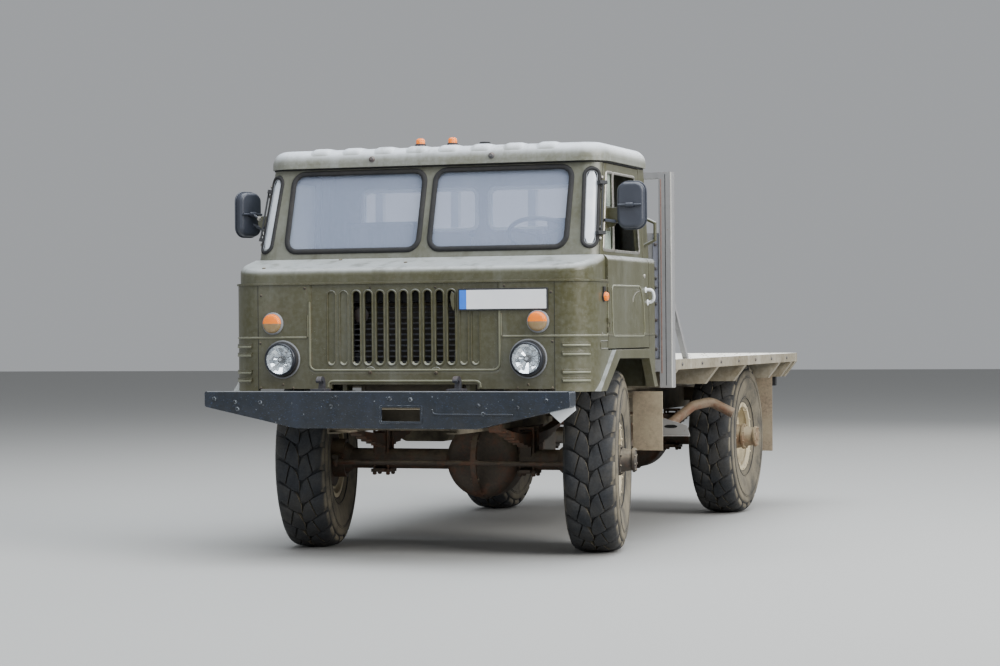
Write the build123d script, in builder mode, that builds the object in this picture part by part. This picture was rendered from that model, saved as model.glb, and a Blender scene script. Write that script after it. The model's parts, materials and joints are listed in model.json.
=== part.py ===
from build123d import *
import os
from math import cos, radians, sin

# A flat-bed cross-country truck, in millimetres. The front faces -Y, +X is the vehicle's
# left, +Z is up, and the origin is on the ground below the middle of the whole truck.

# Overall lengths and the two axles
front_overhang = 1150
wheelbase = 3300
rear_overhang = 996
nose_y = -(front_overhang + wheelbase + rear_overhang) / 2
axle_f = nose_y + front_overhang
axle_r = axle_f + wheelbase
tail_y = axle_r + rear_overhang
track_f = 1800
track_r = 1750

# Wheels and tyres: radii, then places along the axle from the wheel's middle plane
tyre_r = 545
tyre_w = 320
wall_low_r = 335
wall_high_r = 450
bead_h = 21
groove_r = 524
crown_half = 130
crown_drop = 5
lug_count = 23
lug_fill = 0.72
lug_lean = 8.5
lug_inner = 4
rim_r = 229
rim_t = 10
rim_half = 115
flange_h = 16
flange_t = 6
hub_r = 95
hub_nose = 225
hub_inner = -30
drum_r = 190
drum_t = 10
drum_inner = -105
disc_foot_r = 150
spindle_r = 40
spindle_end = 148
running_gap = 0.05
open_gap = 0.5
wheel_z = tyre_r

# Front axle ends
kingpin_x = 740
kingpin_r = 20
ball_r = 95
housing_gap = 5
housing_t = 18
housing_inner = -25
housing_bevel = 48
steer_rest = 11
arm_reach = 230
arm_w = 40
arm_t = 25
arm_lift = 5
rod_pin_r = 12
rod_r = 15
rod_eye_r = 24
rod_z = -13
backplate_r = 172
backplate_t = 6

# Axle beams
tube_r = 62
diff_x = 200
ground_clearance = 317
diff_r = wheel_z - ground_clearance
diff_half = 130
pinion_reach = 330
pinion_r = 75

# Chassis frame
rail_out = 400
rail_w = 70
rail_h = 160
rail_t = 8
rail_top = 900
rail_bottom = rail_top - rail_h
member_w = 80

# Springs
spring_x = 470
spring_w = 70
leaf_t = 11
leaf_count = 7
leaf_camber = 60
seat_t = 10
clamp_half = 60
spring_half_f = 600
spring_half_r = 650
eye_r = 28
seat_gap = 0.3

# Bumper
bumper_half = 1109
bumper_shift = -14
bumper_top = 985
bumper_mid_bottom = 775
bumper_end_bottom = 897
bumper_flat_half = 550
bumper_depth = 110
bumper_t = 8

# Cab: half widths, then places along the truck, then heights
cab_half = 1120
cab_front = axle_f - 854
corner_r = 215
rear_corner_r = 60
cab_rear = axle_f + 570
panel_t = 28
cab_bottom = 975
front_bottom = 992
crease_z = 1288
crease_h = 8
crease_out = 4
shoulder_z = 1600
cowl_inset = 14
rim_h = 12
rim_out = 8
waist_z = 1757
waist_in = 37
waist_half = cab_half - waist_in
roof_top = 2422
roof_h = 112
eaves_z = roof_top - roof_h
eaves_in = 30
eaves_half = waist_half - eaves_in
glass_foot = axle_f - 540
glass_head = axle_f - 365
pillar_r = 110
wall_t = 30
roof_out = 22
roof_crown_r = 84
roof_t = 26
seam_in = 205
seam_x = cab_half - seam_in

# Doors
door_front = axle_f - 478
door_rear = axle_f + 380
door_top_front = axle_f - 300
door_bottom = 1215
door_drop = 14
door_top = eaves_z - door_drop
door_gap = 8
sash_t = 28
door_pin_x = cab_half + 4
door_pin_y = door_front + 6
knuckle_r = 9
knuckle_h = 26
knuckle_gap = 0.3
door_pin_r = 4.5
door_hinge_zs = (1312, 1490)

# Windows: sill and head heights, and half widths
screen_rise = 48
screen_drop = 32
screen_in = 173
screen_z0 = waist_z + screen_rise
screen_z1 = eaves_z - screen_drop
screen_half = eaves_half - screen_in
post_half = 34
screen_r = 70
side_rise = 28
side_drop = 65
side_sill = waist_z + side_rise
side_head = eaves_z - side_drop
rear_drop = 94
rear_h = 254
rear_in = 238
rear_z1 = eaves_z - rear_drop
rear_z0 = rear_z1 - rear_h
rear_inner = 42
rear_outer = eaves_half - rear_in
pane_t = 5

# Cab floor and hinge
floor_z = 1170
floor_t = 25
tunnel_half = 345
tunnel_rear = axle_f + 240
cover_top = 1545
cover_t = 20
hinge_y = axle_f - 790
hinge_z = 950
hinge_r = 16
ear_t = 25

# Flat bed
bed_half = 1181
bed_front = axle_f + 778
deck_top = 1135
plank_t = 30
edge_w = 60
edge_h = 65
bearer_w = 60
bearer_t = 7
bearer_bottom = 958
bearer_foot = 1095
post_w = 80
post_bottom = 960
board_top = 2298
board_rail = 40
panel_top = 1922

os.makedirs("parts", exist_ok=True)


def block(x, y, z, mode=Mode.ADD):
    """A box from three (low, high) pairs, added to the part that is being built."""
    with Locations(((x[0] + x[1]) / 2, (y[0] + y[1]) / 2, (z[0] + z[1]) / 2)):
        Box(x[1] - x[0], y[1] - y[0], z[1] - z[0], mode=mode)


def outline(plane, points, radius=0):
    """A closed outline on a plane, with every corner rounded alike."""
    with BuildSketch(plane) as sk:
        with BuildLine():
            Polyline(*points, close=True)
        make_face()
        if radius:
            fillet(sk.vertices(), radius)
    return sk.sketch


def plan(z, half, front, rear, round_front, round_rear):
    """The cab's outline seen from above, at one height."""
    with BuildSketch(Plane.XY.offset(z)) as sk:
        with Locations((0, (front + rear) / 2)):
            Rectangle(2 * half, rear - front)
        fillet(sk.vertices().group_by(Axis.Y)[0], round_front)
        fillet(sk.vertices().group_by(Axis.Y)[-1], round_rear)
    return sk.sketch


def across(y):
    """The plane across the truck at y: local x is +X, local y is +Z, and -amount runs rearwards."""
    return Plane.XZ.offset(-y)


def rod(start, end, radius):
    """A round bar from one point to another, added to the part that is being built."""
    run = Vector(*end) - Vector(*start)
    with BuildSketch(Plane(origin=start, z_dir=run)) as section:
        Circle(radius)
    extrude(section.sketch, amount=run.length)


def placed(form, x, y, z, turn=0, flipped=False):
    """A copy of a form made at the origin, mirrored to the right-hand side if flipped."""
    shape = form.mirror(Plane.YZ) if flipped else form
    return shape.moved(Location((x, y, z), (0, 0, turn)))


def upright(x, y, low, high, radius, mode=Mode.ADD):
    """A vertical cylinder between two heights, in the part that is being built."""
    with Locations((x, y, (low + high) / 2)):
        Cylinder(radius, high - low, mode=mode)


def export(part, name):
    part.label = name
    export_step(part, f"parts/{name}.step")


sides = ((1, "left"), (-1, "right"))

# Tyre: flat faces between rings of (x, radius, angle) points, with a staggered row of slanting
# lugs on each side; the angle is 0 at the ground and the axle runs along +X
lug_pitch = 360 / lug_count
lug_half = lug_fill * lug_pitch / 2
bore_r = rim_r / cos(radians(lug_half)) + running_gap


def tyre_point(x, radius, angle):
    return (x, radius * sin(radians(angle)), -radius * cos(radians(angle)))


def lug_ring(x, radius, side, lean=0):
    """One ring, with a point where each lug of that side starts and one where it ends."""
    first = lug_half - lean + (0 if side > 0 else lug_pitch / 2)
    return [
        (side * x, radius, first + n * lug_pitch + edge) for n in range(lug_count) for edge in (-lug_half, lug_half)
    ]


def straight_band(low, high):
    """Four-cornered faces between two rings with the same angles."""
    return [(low[k - 1], low[k], high[k], high[k - 1]) for k in range(len(low))]


def staggered_band(low, high):
    """Triangles between two rings whose angles differ, the next nearest corner each time."""
    count = len(low)
    faces = []
    i = j = 0
    while i + j < 2 * count:
        next_i = low[(i + 1) % count][2] + 360 * ((i + 1) // count)
        next_j = high[(j + 1) % count][2] + 360 * ((j + 1) // count)
        if i < count and (j == count or next_i <= next_j):
            faces.append((low[i % count], low[(i + 1) % count], high[j % count]))
            i += 1
        else:
            faces.append((low[i % count], high[(j + 1) % count], high[j % count]))
            j += 1
    return faces


tyre_faces = []
inner_rings = []
for side in (1, -1):
    floor_in = lug_ring(lug_inner, groove_r, side)
    floor_out = lug_ring(crown_half, groove_r, side, lug_lean)
    top_in = lug_ring(lug_inner, tyre_r, side)
    top_out = lug_ring(crown_half, tyre_r - crown_drop, side, lug_lean)
    for k in range(0, 2 * lug_count, 2):
        start, end, after = k, k + 1, (k + 2) % (2 * lug_count)
        tyre_faces += [
            (floor_in[start], floor_in[end], top_in[end], top_in[start]),
            (floor_out[start], floor_out[end], top_out[end], top_out[start]),
            (top_in[start], top_in[end], top_out[start]),
            (top_in[end], top_out[end], top_out[start]),
            (floor_in[end], floor_in[after], floor_out[end]),
            (floor_in[after], floor_out[after], floor_out[end]),
        ]
        for edge in (start, end):
            tyre_faces += [
                (floor_in[edge], floor_out[edge], top_in[edge]), (top_in[edge], floor_out[edge], top_out[edge]),
            ]
    walls = ((tyre_w / 2, wall_high_r), (tyre_w / 2, wall_low_r), (rim_half, rim_r + bead_h), (rim_half, bore_r))
    rings = [floor_out] + [lug_ring(x, radius, side, lug_lean) for x, radius in walls]
    for low, high in zip(rings, rings[1:]):
        tyre_faces += straight_band(low, high)
    inner_rings.append((floor_in, rings[-1]))
for low, high in zip(*inner_rings):
    tyre_faces += staggered_band(low, high)
with BuildPart() as tyre_form:
    skin = [Face(Wire.make_polygon([tyre_point(*corner) for corner in corners])) for corners in tyre_faces]
    add(Solid(Shell(skin)))

# Wheel form at the origin, axle along +X
barrel_r = rim_r - rim_t
flange_r = rim_r + flange_h
wheel_section = (
    (hub_inner, spindle_r + running_gap), (hub_inner, hub_r), (-20, hub_r), (-20, drum_r - drum_t),
    (drum_inner, drum_r - drum_t), (drum_inner, drum_r), (-8, drum_r), (-8, disc_foot_r), (35, barrel_r),
    (-rim_half - flange_t, barrel_r), (-rim_half - flange_t, flange_r), (-rim_half, flange_r),
    (-rim_half, rim_r), (rim_half, rim_r), (rim_half, flange_r), (rim_half + flange_t, flange_r),
    (rim_half + flange_t, barrel_r), (47, barrel_r), (5, disc_foot_r), (5, hub_r), (40, hub_r),
    (150, hub_r - 32), (hub_nose, hub_r - 40), (hub_nose, 0), (spindle_end + 2, 0),
    (spindle_end + 2, spindle_r + running_gap),
)
with BuildPart() as wheel_form:
    revolve(outline(Plane.XY, wheel_section), axis=Axis.X)

steer_turn = Vector(track_f / 2 - kingpin_x, 0, 0).rotate(Axis.Z, steer_rest)
wheel_places = (
    ("front_left", kingpin_x + steer_turn.X, axle_f + steer_turn.Y, steer_rest, False),
    ("front_right", -kingpin_x - steer_turn.X, axle_f - steer_turn.Y, steer_rest, True),
    ("rear_left", track_r / 2, axle_r, 0, False),
    ("rear_right", -track_r / 2, axle_r, 0, True),
)
for word, x, y, turn, flipped in wheel_places:
    with BuildPart() as tyre:
        add(placed(tyre_form.part, x, y, wheel_z, turn, flipped))
    export(tyre.part, f"tyre_{word}")
    with BuildPart() as wheel:
        add(placed(wheel_form.part, x, y, wheel_z, turn, flipped))
    export(wheel.part, f"wheel_{word}")

# Steering knuckles: a round housing about the ball, its kingpin, the spindle, the backplate and
# the steering arm, which reaches forward to the tie rod
housing_r = ball_r + housing_gap + housing_t
spindle_tip = track_f / 2 - kingpin_x + spindle_end
housing_end = housing_r - housing_t
cup_section = (
    (housing_inner, housing_r), (housing_r - housing_bevel, housing_r), (housing_r, housing_r - housing_bevel),
    (housing_r, 0), (housing_end, 0), (housing_end, housing_end - housing_bevel + 6),
    (housing_end - housing_bevel + 6, housing_end), (housing_inner, housing_end),
)
with BuildPart() as knuckle_form:
    revolve(outline(Plane.XY, cup_section), axis=Axis.X)
    Cylinder(kingpin_r, 2 * housing_r - 4)
    rod((housing_end + 2, 0, 0), (spindle_tip, 0, 0), spindle_r)
    with BuildSketch(Plane.YZ.offset(52)) as plate:
        Circle(backplate_r)
        Circle(housing_r - housing_t / 2, mode=Mode.SUBTRACT)
    extrude(amount=backplate_t)
    block((-arm_w / 2, arm_w / 2), (-arm_reach - arm_w / 2, housing_t / 2 - housing_r), (arm_lift, arm_lift + arm_t))
    with Locations((0, -arm_reach, 0)):
        Cylinder(rod_pin_r, 40, align=(Align.CENTER, Align.CENTER, Align.MAX))
    with Locations((0, -arm_reach, 0)):
        Cylinder(rod_pin_r, 8, align=(Align.CENTER, Align.CENTER, Align.MIN))
for side, word in sides:
    with BuildPart() as knuckle:
        add(placed(knuckle_form.part, side * kingpin_x, axle_f, wheel_z, steer_rest, side < 0))
    export(knuckle.part, f"knuckle_{word}")

rod_offset = Vector(0, -arm_reach, 0).rotate(Axis.Z, steer_rest)
rod_y = axle_f + rod_offset.Y
with BuildPart() as tie_rod:
    eyes = [(side * kingpin_x + rod_offset.X, rod_y, wheel_z + rod_z) for side, word in sides]
    rod(eyes[1], eyes[0], rod_r)
    eye_h = 2 * rod_r + 2
    with Locations(*eyes):
        Cylinder(rod_eye_r, eye_h)
    with Locations(eyes[0]):
        Cylinder(rod_pin_r + running_gap, eye_h, mode=Mode.SUBTRACT)
    with Locations(eyes[1]):
        Cylinder(rod_pin_r + open_gap, eye_h, mode=Mode.SUBTRACT)
export(tie_rod.part, "tie_rod")


def axle_beam(y, half, end_r, pinion_side):
    """A beam at y: a tube, the round differential case, its pinion nose and the spring seats."""
    with BuildPart() as beam:
        rod((-half, y, wheel_z), (half, y, wheel_z), end_r)
        with BuildSketch(across(y - diff_half)) as case:
            with Locations((diff_x, wheel_z)):
                Circle(diff_r)
        extrude(case.sketch, amount=-2 * diff_half)
        fillet(beam.edges().filter_by(GeomType.CIRCLE).filter_by(lambda e: e.radius == diff_r), 70)
        nose = (diff_x, y + pinion_side * pinion_reach, wheel_z)
        rod((diff_x, y, wheel_z), nose, pinion_r)
        for side, word in sides:
            seat_x = (side * spring_x - spring_w / 2, side * spring_x + spring_w / 2)
            block(seat_x, (y - clamp_half, y + clamp_half), (wheel_z, wheel_z + end_r + seat_t))
            block(seat_x, (y - clamp_half - 20, y + clamp_half + 20), (wheel_z - end_r - 16, wheel_z - end_r + 4))
    return beam


front_beam = axle_beam(axle_f, kingpin_x - 40, tube_r, 1)
with BuildPart() as front_axle:
    add(front_beam.part)
    with Locations(*[(side * kingpin_x, axle_f, wheel_z) for side, word in sides]):
        Sphere(ball_r)
        Cylinder(kingpin_r + running_gap, 2 * ball_r + 10, mode=Mode.SUBTRACT)
export(front_axle.part, "front_axle")

rear_beam = axle_beam(axle_r, track_r / 2 + hub_inner - 8, tube_r, -1)
with BuildPart() as rear_axle:
    add(rear_beam.part)
    rear_tip = track_r / 2 + spindle_end
    rod((-rear_tip, axle_r, wheel_z), (rear_tip, axle_r, wheel_z), spindle_r)
    for side, word in sides:
        plate_x = side * (track_r / 2 + drum_inner + 12)
        rod((plate_x, axle_r, wheel_z), (plate_x + side * backplate_t, axle_r, wheel_z), backplate_r)
export(rear_axle.part, "rear_axle")

# Leaf springs: curved leaves, each shorter than the one above, on a flat-footed clamp
seat_z = wheel_z + tube_r + seat_t
leaf_z = seat_z + 8


def spring_outline(y, half):
    """One spring seen from the side, its leaves as bands of circles about one centre."""
    rise_r = half ** 2 / (2 * leaf_camber)
    centre_z = leaf_z + rise_r
    with BuildSketch(Plane.YZ.offset(-spring_w / 2)) as sk:
        for leaf in range(leaf_count):
            reach = half * (leaf + 1.5) / (leaf_count + 0.5)
            outer = rise_r - leaf * leaf_t
            inner = outer - leaf_t
            with BuildLine():
                ends = []
                for r in (outer, inner):
                    drop = (r ** 2 - reach ** 2) ** 0.5
                    ThreePointArc((y - reach, centre_z - drop), (y, centre_z - r), (y + reach, centre_z - drop))
                    ends.append(centre_z - drop)
                Line((y - reach, ends[0]), (y - reach, ends[1]))
                Line((y + reach, ends[0]), (y + reach, ends[1]))
            make_face()
        eye_z = centre_z - (inner ** 2 - reach ** 2) ** 0.5 - leaf_t / 2
        with Locations((y - reach, eye_z), (y + reach, eye_z)):
            Circle(eye_r)
        with Locations((y, (seat_z + leaf_z + leaf_count * leaf_t + 12) / 2)):
            Rectangle(2 * clamp_half, leaf_z + leaf_count * leaf_t + 12 - seat_z)
    return sk.sketch, eye_z


with BuildPart() as leaf_springs:
    hangers = []
    for y, half in ((axle_f, spring_half_f), (axle_r, spring_half_r)):
        profile, eye_z = spring_outline(y, half)
        with Locations((spring_x, 0, 0), (-spring_x, 0, 0)):
            add(extrude(profile, amount=spring_w, mode=Mode.PRIVATE))
        hangers += [(y - half, eye_z), (y + half, eye_z)]
export(leaf_springs.part, "leaf_springs")

# Frame: two channel rails with their spring hangers, and the members between them
rail_front = nose_y + bumper_depth
rail_rear = tail_y - 70
with BuildPart() as frame_rails:
    for side, word in sides:
        with BuildSketch(across(rail_front)) as channel:
            with Locations((side * (rail_out - rail_w / 2), rail_top - rail_h / 2)):
                Rectangle(rail_w, rail_h)
            with Locations((side * (rail_out - rail_t - rail_w / 2), rail_top - rail_h / 2)):
                Rectangle(rail_w, rail_h - 2 * rail_t, mode=Mode.SUBTRACT)
        extrude(amount=-(rail_rear - rail_front))
        for y, eye_z in hangers:
            hanger_x = sorted((side * rail_out, side * (spring_x + spring_w / 2 + 8)))
            block(hanger_x, (y - 45, y + 45), (eye_z + eye_r + seat_gap, rail_top - 15))
export(frame_rails.part, "frame_rails")

member_half = rail_out - rail_t
mount_y = cab_rear - 110
members = (
    ("front", rail_front + 60, rail_bottom + 20, rail_top - 20),
    ("radiator", axle_f - 725, rail_bottom + 20, rail_top - rail_t),
    ("cab", mount_y, rail_bottom + rail_t, rail_bottom + rail_t + 36),
    ("transfer", axle_f + 1000, rail_bottom + 90, rail_top - rail_t),
    ("middle", axle_f + 1900, rail_bottom + 20, rail_top - rail_t),
    ("axle", axle_r + 20, rail_bottom + 90, rail_top - rail_t),
    ("rear", rail_rear - member_w / 2, rail_bottom + rail_t, rail_top - rail_t),
)
engine_half = 280
engine_y = (axle_f - 600, axle_f + 100)
engine_z = (800, 1380)
with BuildPart() as frame_crossmembers:
    for word, y, low, high in members:
        block((-member_half, member_half), (y - member_w / 2, y + member_w / 2), (low, high))
    for side, word in sides:
        mount_x = sorted((side * engine_half, side * member_half))
        for y in (engine_y[0] + 130, engine_y[1] - 90):
            block(mount_x, (y - 30, y + 30), (engine_z[0] + 10, rail_top - rail_t - 2))
        ear_x = sorted((side * (rail_out - 60), side * (rail_out - 35)))
        block(ear_x, (hinge_y - 32, hinge_y + 32), (rail_top, hinge_z + 30))
        rod((side * (rail_out - 60), hinge_y, hinge_z), (side * (rail_out + 2), hinge_y, hinge_z), hinge_r)
        post_x = sorted((side * (rail_out - rail_w), side * rail_out))
        block(post_x, (mount_y - 50, mount_y + 50), (rail_top, floor_z - seat_gap))
export(frame_crossmembers.part, "frame_crossmembers")

# Tow hitch: a plate on the rear member with a hooked jaw
hitch_z = rail_top - rail_h / 2
with BuildPart() as tow_hitch:
    block((-110, 110), (rail_rear, rail_rear + 12), (hitch_z - 80, hitch_z + 80))
    with BuildSketch(Plane.YZ.offset(-18)) as jaw:
        with Locations((rail_rear + 36, hitch_z)):
            Circle(34)
            Circle(16, mode=Mode.SUBTRACT)
    extrude(amount=36)
export(tow_hitch.part, "tow_hitch")

# Front bumper: a folded channel with tapered ends and a square window
bumper_low = bumper_shift - bumper_half
bumper_high = bumper_shift + bumper_half
bumper_points = (
    (bumper_low, bumper_top), (bumper_high, bumper_top), (bumper_high, bumper_end_bottom),
    (bumper_flat_half, bumper_mid_bottom), (-bumper_flat_half, bumper_mid_bottom),
    (bumper_low, bumper_end_bottom),
)
window_x = (-20, 214)
window_z = (817, 895)
with BuildPart() as bumper:
    extrude(outline(across(nose_y), bumper_points, 12), amount=-bumper_depth)
    with BuildSketch(across(nose_y + bumper_t)) as hollow:
        add(outline(across(nose_y + bumper_t), bumper_points, 12))
        offset(amount=-bumper_t)
    extrude(amount=-bumper_depth, mode=Mode.SUBTRACT)
    block(window_x, (nose_y, nose_y + bumper_t), window_z, Mode.SUBTRACT)
    for side, word in sides:
        tongue_x = sorted((side * (rail_out - rail_w), side * rail_out))
        block(tongue_x, (nose_y + bumper_t, rail_front), (rail_bottom + 100, bumper_top - bumper_t))
export(bumper.part, "bumper")

# Tow hooks on the bumper's top, each a curved horn on a base plate
hook_x = 415
hook_y = nose_y + 45
hook_h = 85
hook_t = 30
hook_base_half = 45
hook_base_t = 14
with BuildPart() as tow_hooks:
    for side, word in sides:
        base_x = (side * hook_x - hook_base_half, side * hook_x + hook_base_half)
        block(base_x, (hook_y - 40, hook_y + 55), (bumper_top, bumper_top + hook_base_t))
        with BuildSketch(Plane.YZ.offset(side * hook_x - hook_t / 2)) as hook:
            with BuildLine():
                Polyline((hook_y + 45, bumper_top + 10), (hook_y + 45, bumper_top + 50))
                ThreePointArc(
                    (hook_y + 45, bumper_top + 50), (hook_y + 10, bumper_top + hook_h), (hook_y - 30, bumper_top + 58)
                )
                Line((hook_y - 30, bumper_top + 58), (hook_y - 18, bumper_top + 48))
                ThreePointArc(
                    (hook_y - 18, bumper_top + 48), (hook_y + 6, bumper_top + 60), (hook_y + 14, bumper_top + 40)
                )
                Polyline((hook_y + 14, bumper_top + 40), (hook_y + 5, bumper_top + 10), (hook_y + 45, bumper_top + 10))
            make_face()
        extrude(amount=hook_t)
export(tow_hooks.part, "tow_hooks")

# Engine: one block on its four mounts, and the gearbox, transfer case and propeller shafts
with BuildPart() as engine:
    block((-engine_half, engine_half), engine_y, engine_z)
    chamfer(engine.edges().filter_by(Axis.Y).group_by(Axis.Z)[-1], 60)
export(engine.part, "engine")

gearbox_y = engine_y[1] + 480
bell_z = 920
bell_size = (400, 260)
gearbox_z = 890
gearbox_size = (200, 180)
shaft_z = wheel_z + 85
shaft_r = 38
flange_shaft_r = 60
case_y = (axle_f + 860, axle_f + 1120)
with BuildPart() as transmission:
    with BuildSketch(across(engine_y[1])) as bell:
        with Locations((0, bell_z)):
            RectangleRounded(*bell_size, 90)
    with BuildSketch(across(gearbox_y)) as tail_end:
        with Locations((0, gearbox_z)):
            RectangleRounded(*gearbox_size, 60)
    loft()
    rod((0, gearbox_y - 5, 850), (0, case_y[0] + 30, shaft_z + 60), shaft_r)
    block((-140, diff_x + 80), case_y, (shaft_z - 120, rail_bottom + 90))
    fillet(transmission.edges().filter_by(Axis.Y).group_by(Axis.Z)[0], 50)
    for start, pinion in ((case_y[0], axle_f + pinion_reach), (case_y[1], axle_r - pinion_reach)):
        way = 1 if pinion > start else -1
        rod((diff_x, start - way * 5, shaft_z), (diff_x, start + way * 60, shaft_z), flange_shaft_r)
        rod((diff_x, start + way * 50, shaft_z), (diff_x, pinion - way * 40, wheel_z), shaft_r)
        rod((diff_x, pinion - way * 70, wheel_z), (diff_x, pinion, wheel_z), flange_shaft_r)
export(transmission.part, "transmission")

# Radiator: a core between two tanks, standing on its frame member
radiator_half = 300
radiator_y = (axle_f - 765, axle_f - 685)
radiator_top = 1490
with BuildPart() as radiator:
    block((-radiator_half, radiator_half), radiator_y, (rail_top - rail_t, radiator_top))
    fillet(radiator.edges().filter_by(Axis.X).group_by(Axis.Z)[-1], 30)
    for y0, y1 in ((radiator_y[0], radiator_y[0] + 10), (radiator_y[1] - 10, radiator_y[1])):
        block((-radiator_half + 25, radiator_half - 25), (y0, y1), (rail_top + 60, radiator_top - 90), Mode.SUBTRACT)
export(radiator.part, "radiator")

# Fuel tank on the right rail and the exhaust on the left one
tank_y = (axle_f + 1050, axle_f + 1850)
tank_z = (600, 860)
with BuildPart() as fuel_tank:
    block((-rail_out - 380, -rail_out - 20), tank_y, tank_z)
    fillet(fuel_tank.edges().filter_by(Axis.Y), 60)
    for y in (tank_y[0] + 160, tank_y[1] - 160):
        block((-rail_out - 30, -rail_out), (y - 25, y + 25), (rail_bottom + 20, rail_top - 20))
export(fuel_tank.part, "fuel_tank")

muffler_x = 640
muffler_y = (axle_f + 1350, axle_f + 2150)
muffler_z = 655
muffler_r = 105
pipe_r = 34
pipe_run = [
    (muffler_x, muffler_y[1] - 10, muffler_z), (muffler_x + 60, axle_f + 2290, 650),
    (840, axle_f + 2480, 790), (930, axle_f + 2625, 815), (1085, axle_f + 2650, 735),
]
with BuildPart() as exhaust:
    rod((muffler_x, muffler_y[0], muffler_z), (muffler_x, muffler_y[1], muffler_z), muffler_r)
    with BuildLine() as run:
        FilletPolyline(*pipe_run, radius=70)
    with BuildSketch(Plane(origin=pipe_run[0], z_dir=run.line % 0)):
        Circle(pipe_r)
    sweep(path=run.line)
    for y in (muffler_y[0] + 120, muffler_y[1] - 120):
        block((rail_out, muffler_x), (y - 20, y + 20), (muffler_z + muffler_r - 10, muffler_z + muffler_r + 4))
export(exhaust.part, "exhaust")

# Flat bed: two sills on the rails, tapered cross-bearers, planks and the steel edge
bearer_ys = (
    bed_front + 6, axle_f + 1820, axle_f + 2610, axle_r + 380, axle_r + 785, tail_y - bearer_w - 6,
)
plank_bottom = deck_top - plank_t
edge_bottom = deck_top - edge_h
with BuildPart() as bed_sills:
    for side, word in sides:
        sill_x = sorted((side * (rail_out - rail_w), side * rail_out))
        block(sill_x, (bed_front + 6, rail_rear), (rail_top, bearer_bottom))
export(bed_sills.part, "bed_sills")

bearer_points = (
    (-bed_half, edge_bottom), (-bed_half + edge_w, edge_bottom), (-bed_half + edge_w, plank_bottom),
    (bed_half - edge_w, plank_bottom), (bed_half - edge_w, edge_bottom), (bed_half, edge_bottom),
    (bearer_foot, bearer_bottom), (-bearer_foot, bearer_bottom),
)
with BuildPart() as bed_bearers:
    for y in bearer_ys:
        extrude(outline(across(y), bearer_points), amount=-bearer_w)
        with BuildSketch(across(y + bearer_t)):
            add(outline(across(y + bearer_t), bearer_points))
            offset(amount=-bearer_t)
        extrude(amount=-bearer_w, mode=Mode.SUBTRACT)
export(bed_bearers.part, "bed_bearers")

with BuildPart() as bed_edge:
    block((-bed_half, bed_half), (bed_front, tail_y), (edge_bottom, deck_top))
    block((-bed_half + edge_w, bed_half - edge_w), (bed_front + 6, tail_y - 6), (edge_bottom, deck_top), Mode.SUBTRACT)
export(bed_edge.part, "bed_edge")

plank_count = 9
plank_gap = 4
deck_half = bed_half - edge_w
plank_w = 2 * deck_half / plank_count
with BuildPart() as bed_planks:
    for n in range(plank_count):
        x = -deck_half + n * plank_w
        block((x + plank_gap / 2, x + plank_w - plank_gap / 2), (bed_front + 6, tail_y - 6), (plank_bottom, deck_top))
export(bed_planks.part, "bed_planks")

# Headboard: posts, a top rail, uprights and a braced panel
post_out = bed_half - 2
board_y = (bed_front - post_w, bed_front)
upright_pitch = 520
upright_w = 50
board_t = 18
foot_rail = 75
brace_zs = (1520, 1480)
brace_foot = 300
brace_w = 45
brace_t = 30
with BuildPart() as headboard:
    for side, word in sides:
        post_x = sorted((side * (post_out - post_w), side * post_out))
        block(post_x, board_y, (post_bottom, board_top))
        with BuildSketch(Plane.YZ.offset(side * (post_out - post_w / 4) - brace_t / 2)) as brace:
            with BuildLine():
                Polyline(
                    (bed_front - 10, brace_zs[0]), (bed_front - 10, brace_zs[1]), (bed_front + brace_foot, deck_top),
                    (bed_front + brace_foot + brace_w, deck_top), close=True,
                )
            make_face()
        extrude(amount=brace_t)
    block((-post_out, post_out), board_y, (board_top - board_rail, board_top))
    block((-post_out, post_out), board_y, (deck_top - foot_rail, deck_top))
    for n in (-1.5, -0.5, 0.5, 1.5):
        x = n * upright_pitch
        upright_x = (x - upright_w / 2, x + upright_w / 2)
        block(upright_x, (bed_front - upright_w, bed_front), (deck_top - 10, board_top - 10))
export(headboard.part, "headboard")

panel_half = post_out - post_w
with BuildPart() as headboard_panel:
    panel_y = (bed_front - upright_w - board_t, bed_front - upright_w)
    block((-panel_half, panel_half), panel_y, (deck_top, panel_top))
export(headboard_panel.part, "headboard_panel")

# Mudflaps: the rear pair hangs from the deck, the front pair from arms on the rails
flap_y = axle_r + tyre_r + 60
flap_x = (700, 1075)
flap_t = 8
flap_bottom = 411
front_flap_y = axle_f + tyre_r + 75
front_flap_x = (945, 1135)
front_flap_z = (575, 940)
flap_arm = 35
with BuildPart() as mudflaps:
    for side, word in sides:
        span = sorted((side * flap_x[0], side * flap_x[1]))
        block(span, (flap_y, flap_y + flap_t), (flap_bottom, plank_bottom))
        span = sorted((side * front_flap_x[0], side * front_flap_x[1]))
        block(span, (front_flap_y, front_flap_y + flap_t), front_flap_z)
        arm_x = sorted((side * (rail_out - rail_w), side * (front_flap_x[1] - 15)))
        arm_y = (front_flap_y + flap_t, front_flap_y + flap_t + flap_arm)
        block(arm_x, arm_y, (rail_top, rail_top + flap_arm - 5))
export(mudflaps.part, "mudflaps")

# Tail lamps below the last bearer
with BuildPart() as tail_lamps:
    for side, word in sides:
        span = sorted((side * (bearer_foot - 175), side * (bearer_foot - 65)))
        block(span, (bearer_ys[-1], bearer_ys[-1] + 50), (bearer_bottom - 70, bearer_bottom))
export(tail_lamps.part, "tail_lamps")

# Cab forms: the lower body with its rolled waist, and the leaning upper house
cowl_drop = 67
cowl_roll = 45
cowl_t = 25
inner_half = waist_half - sash_t

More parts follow.
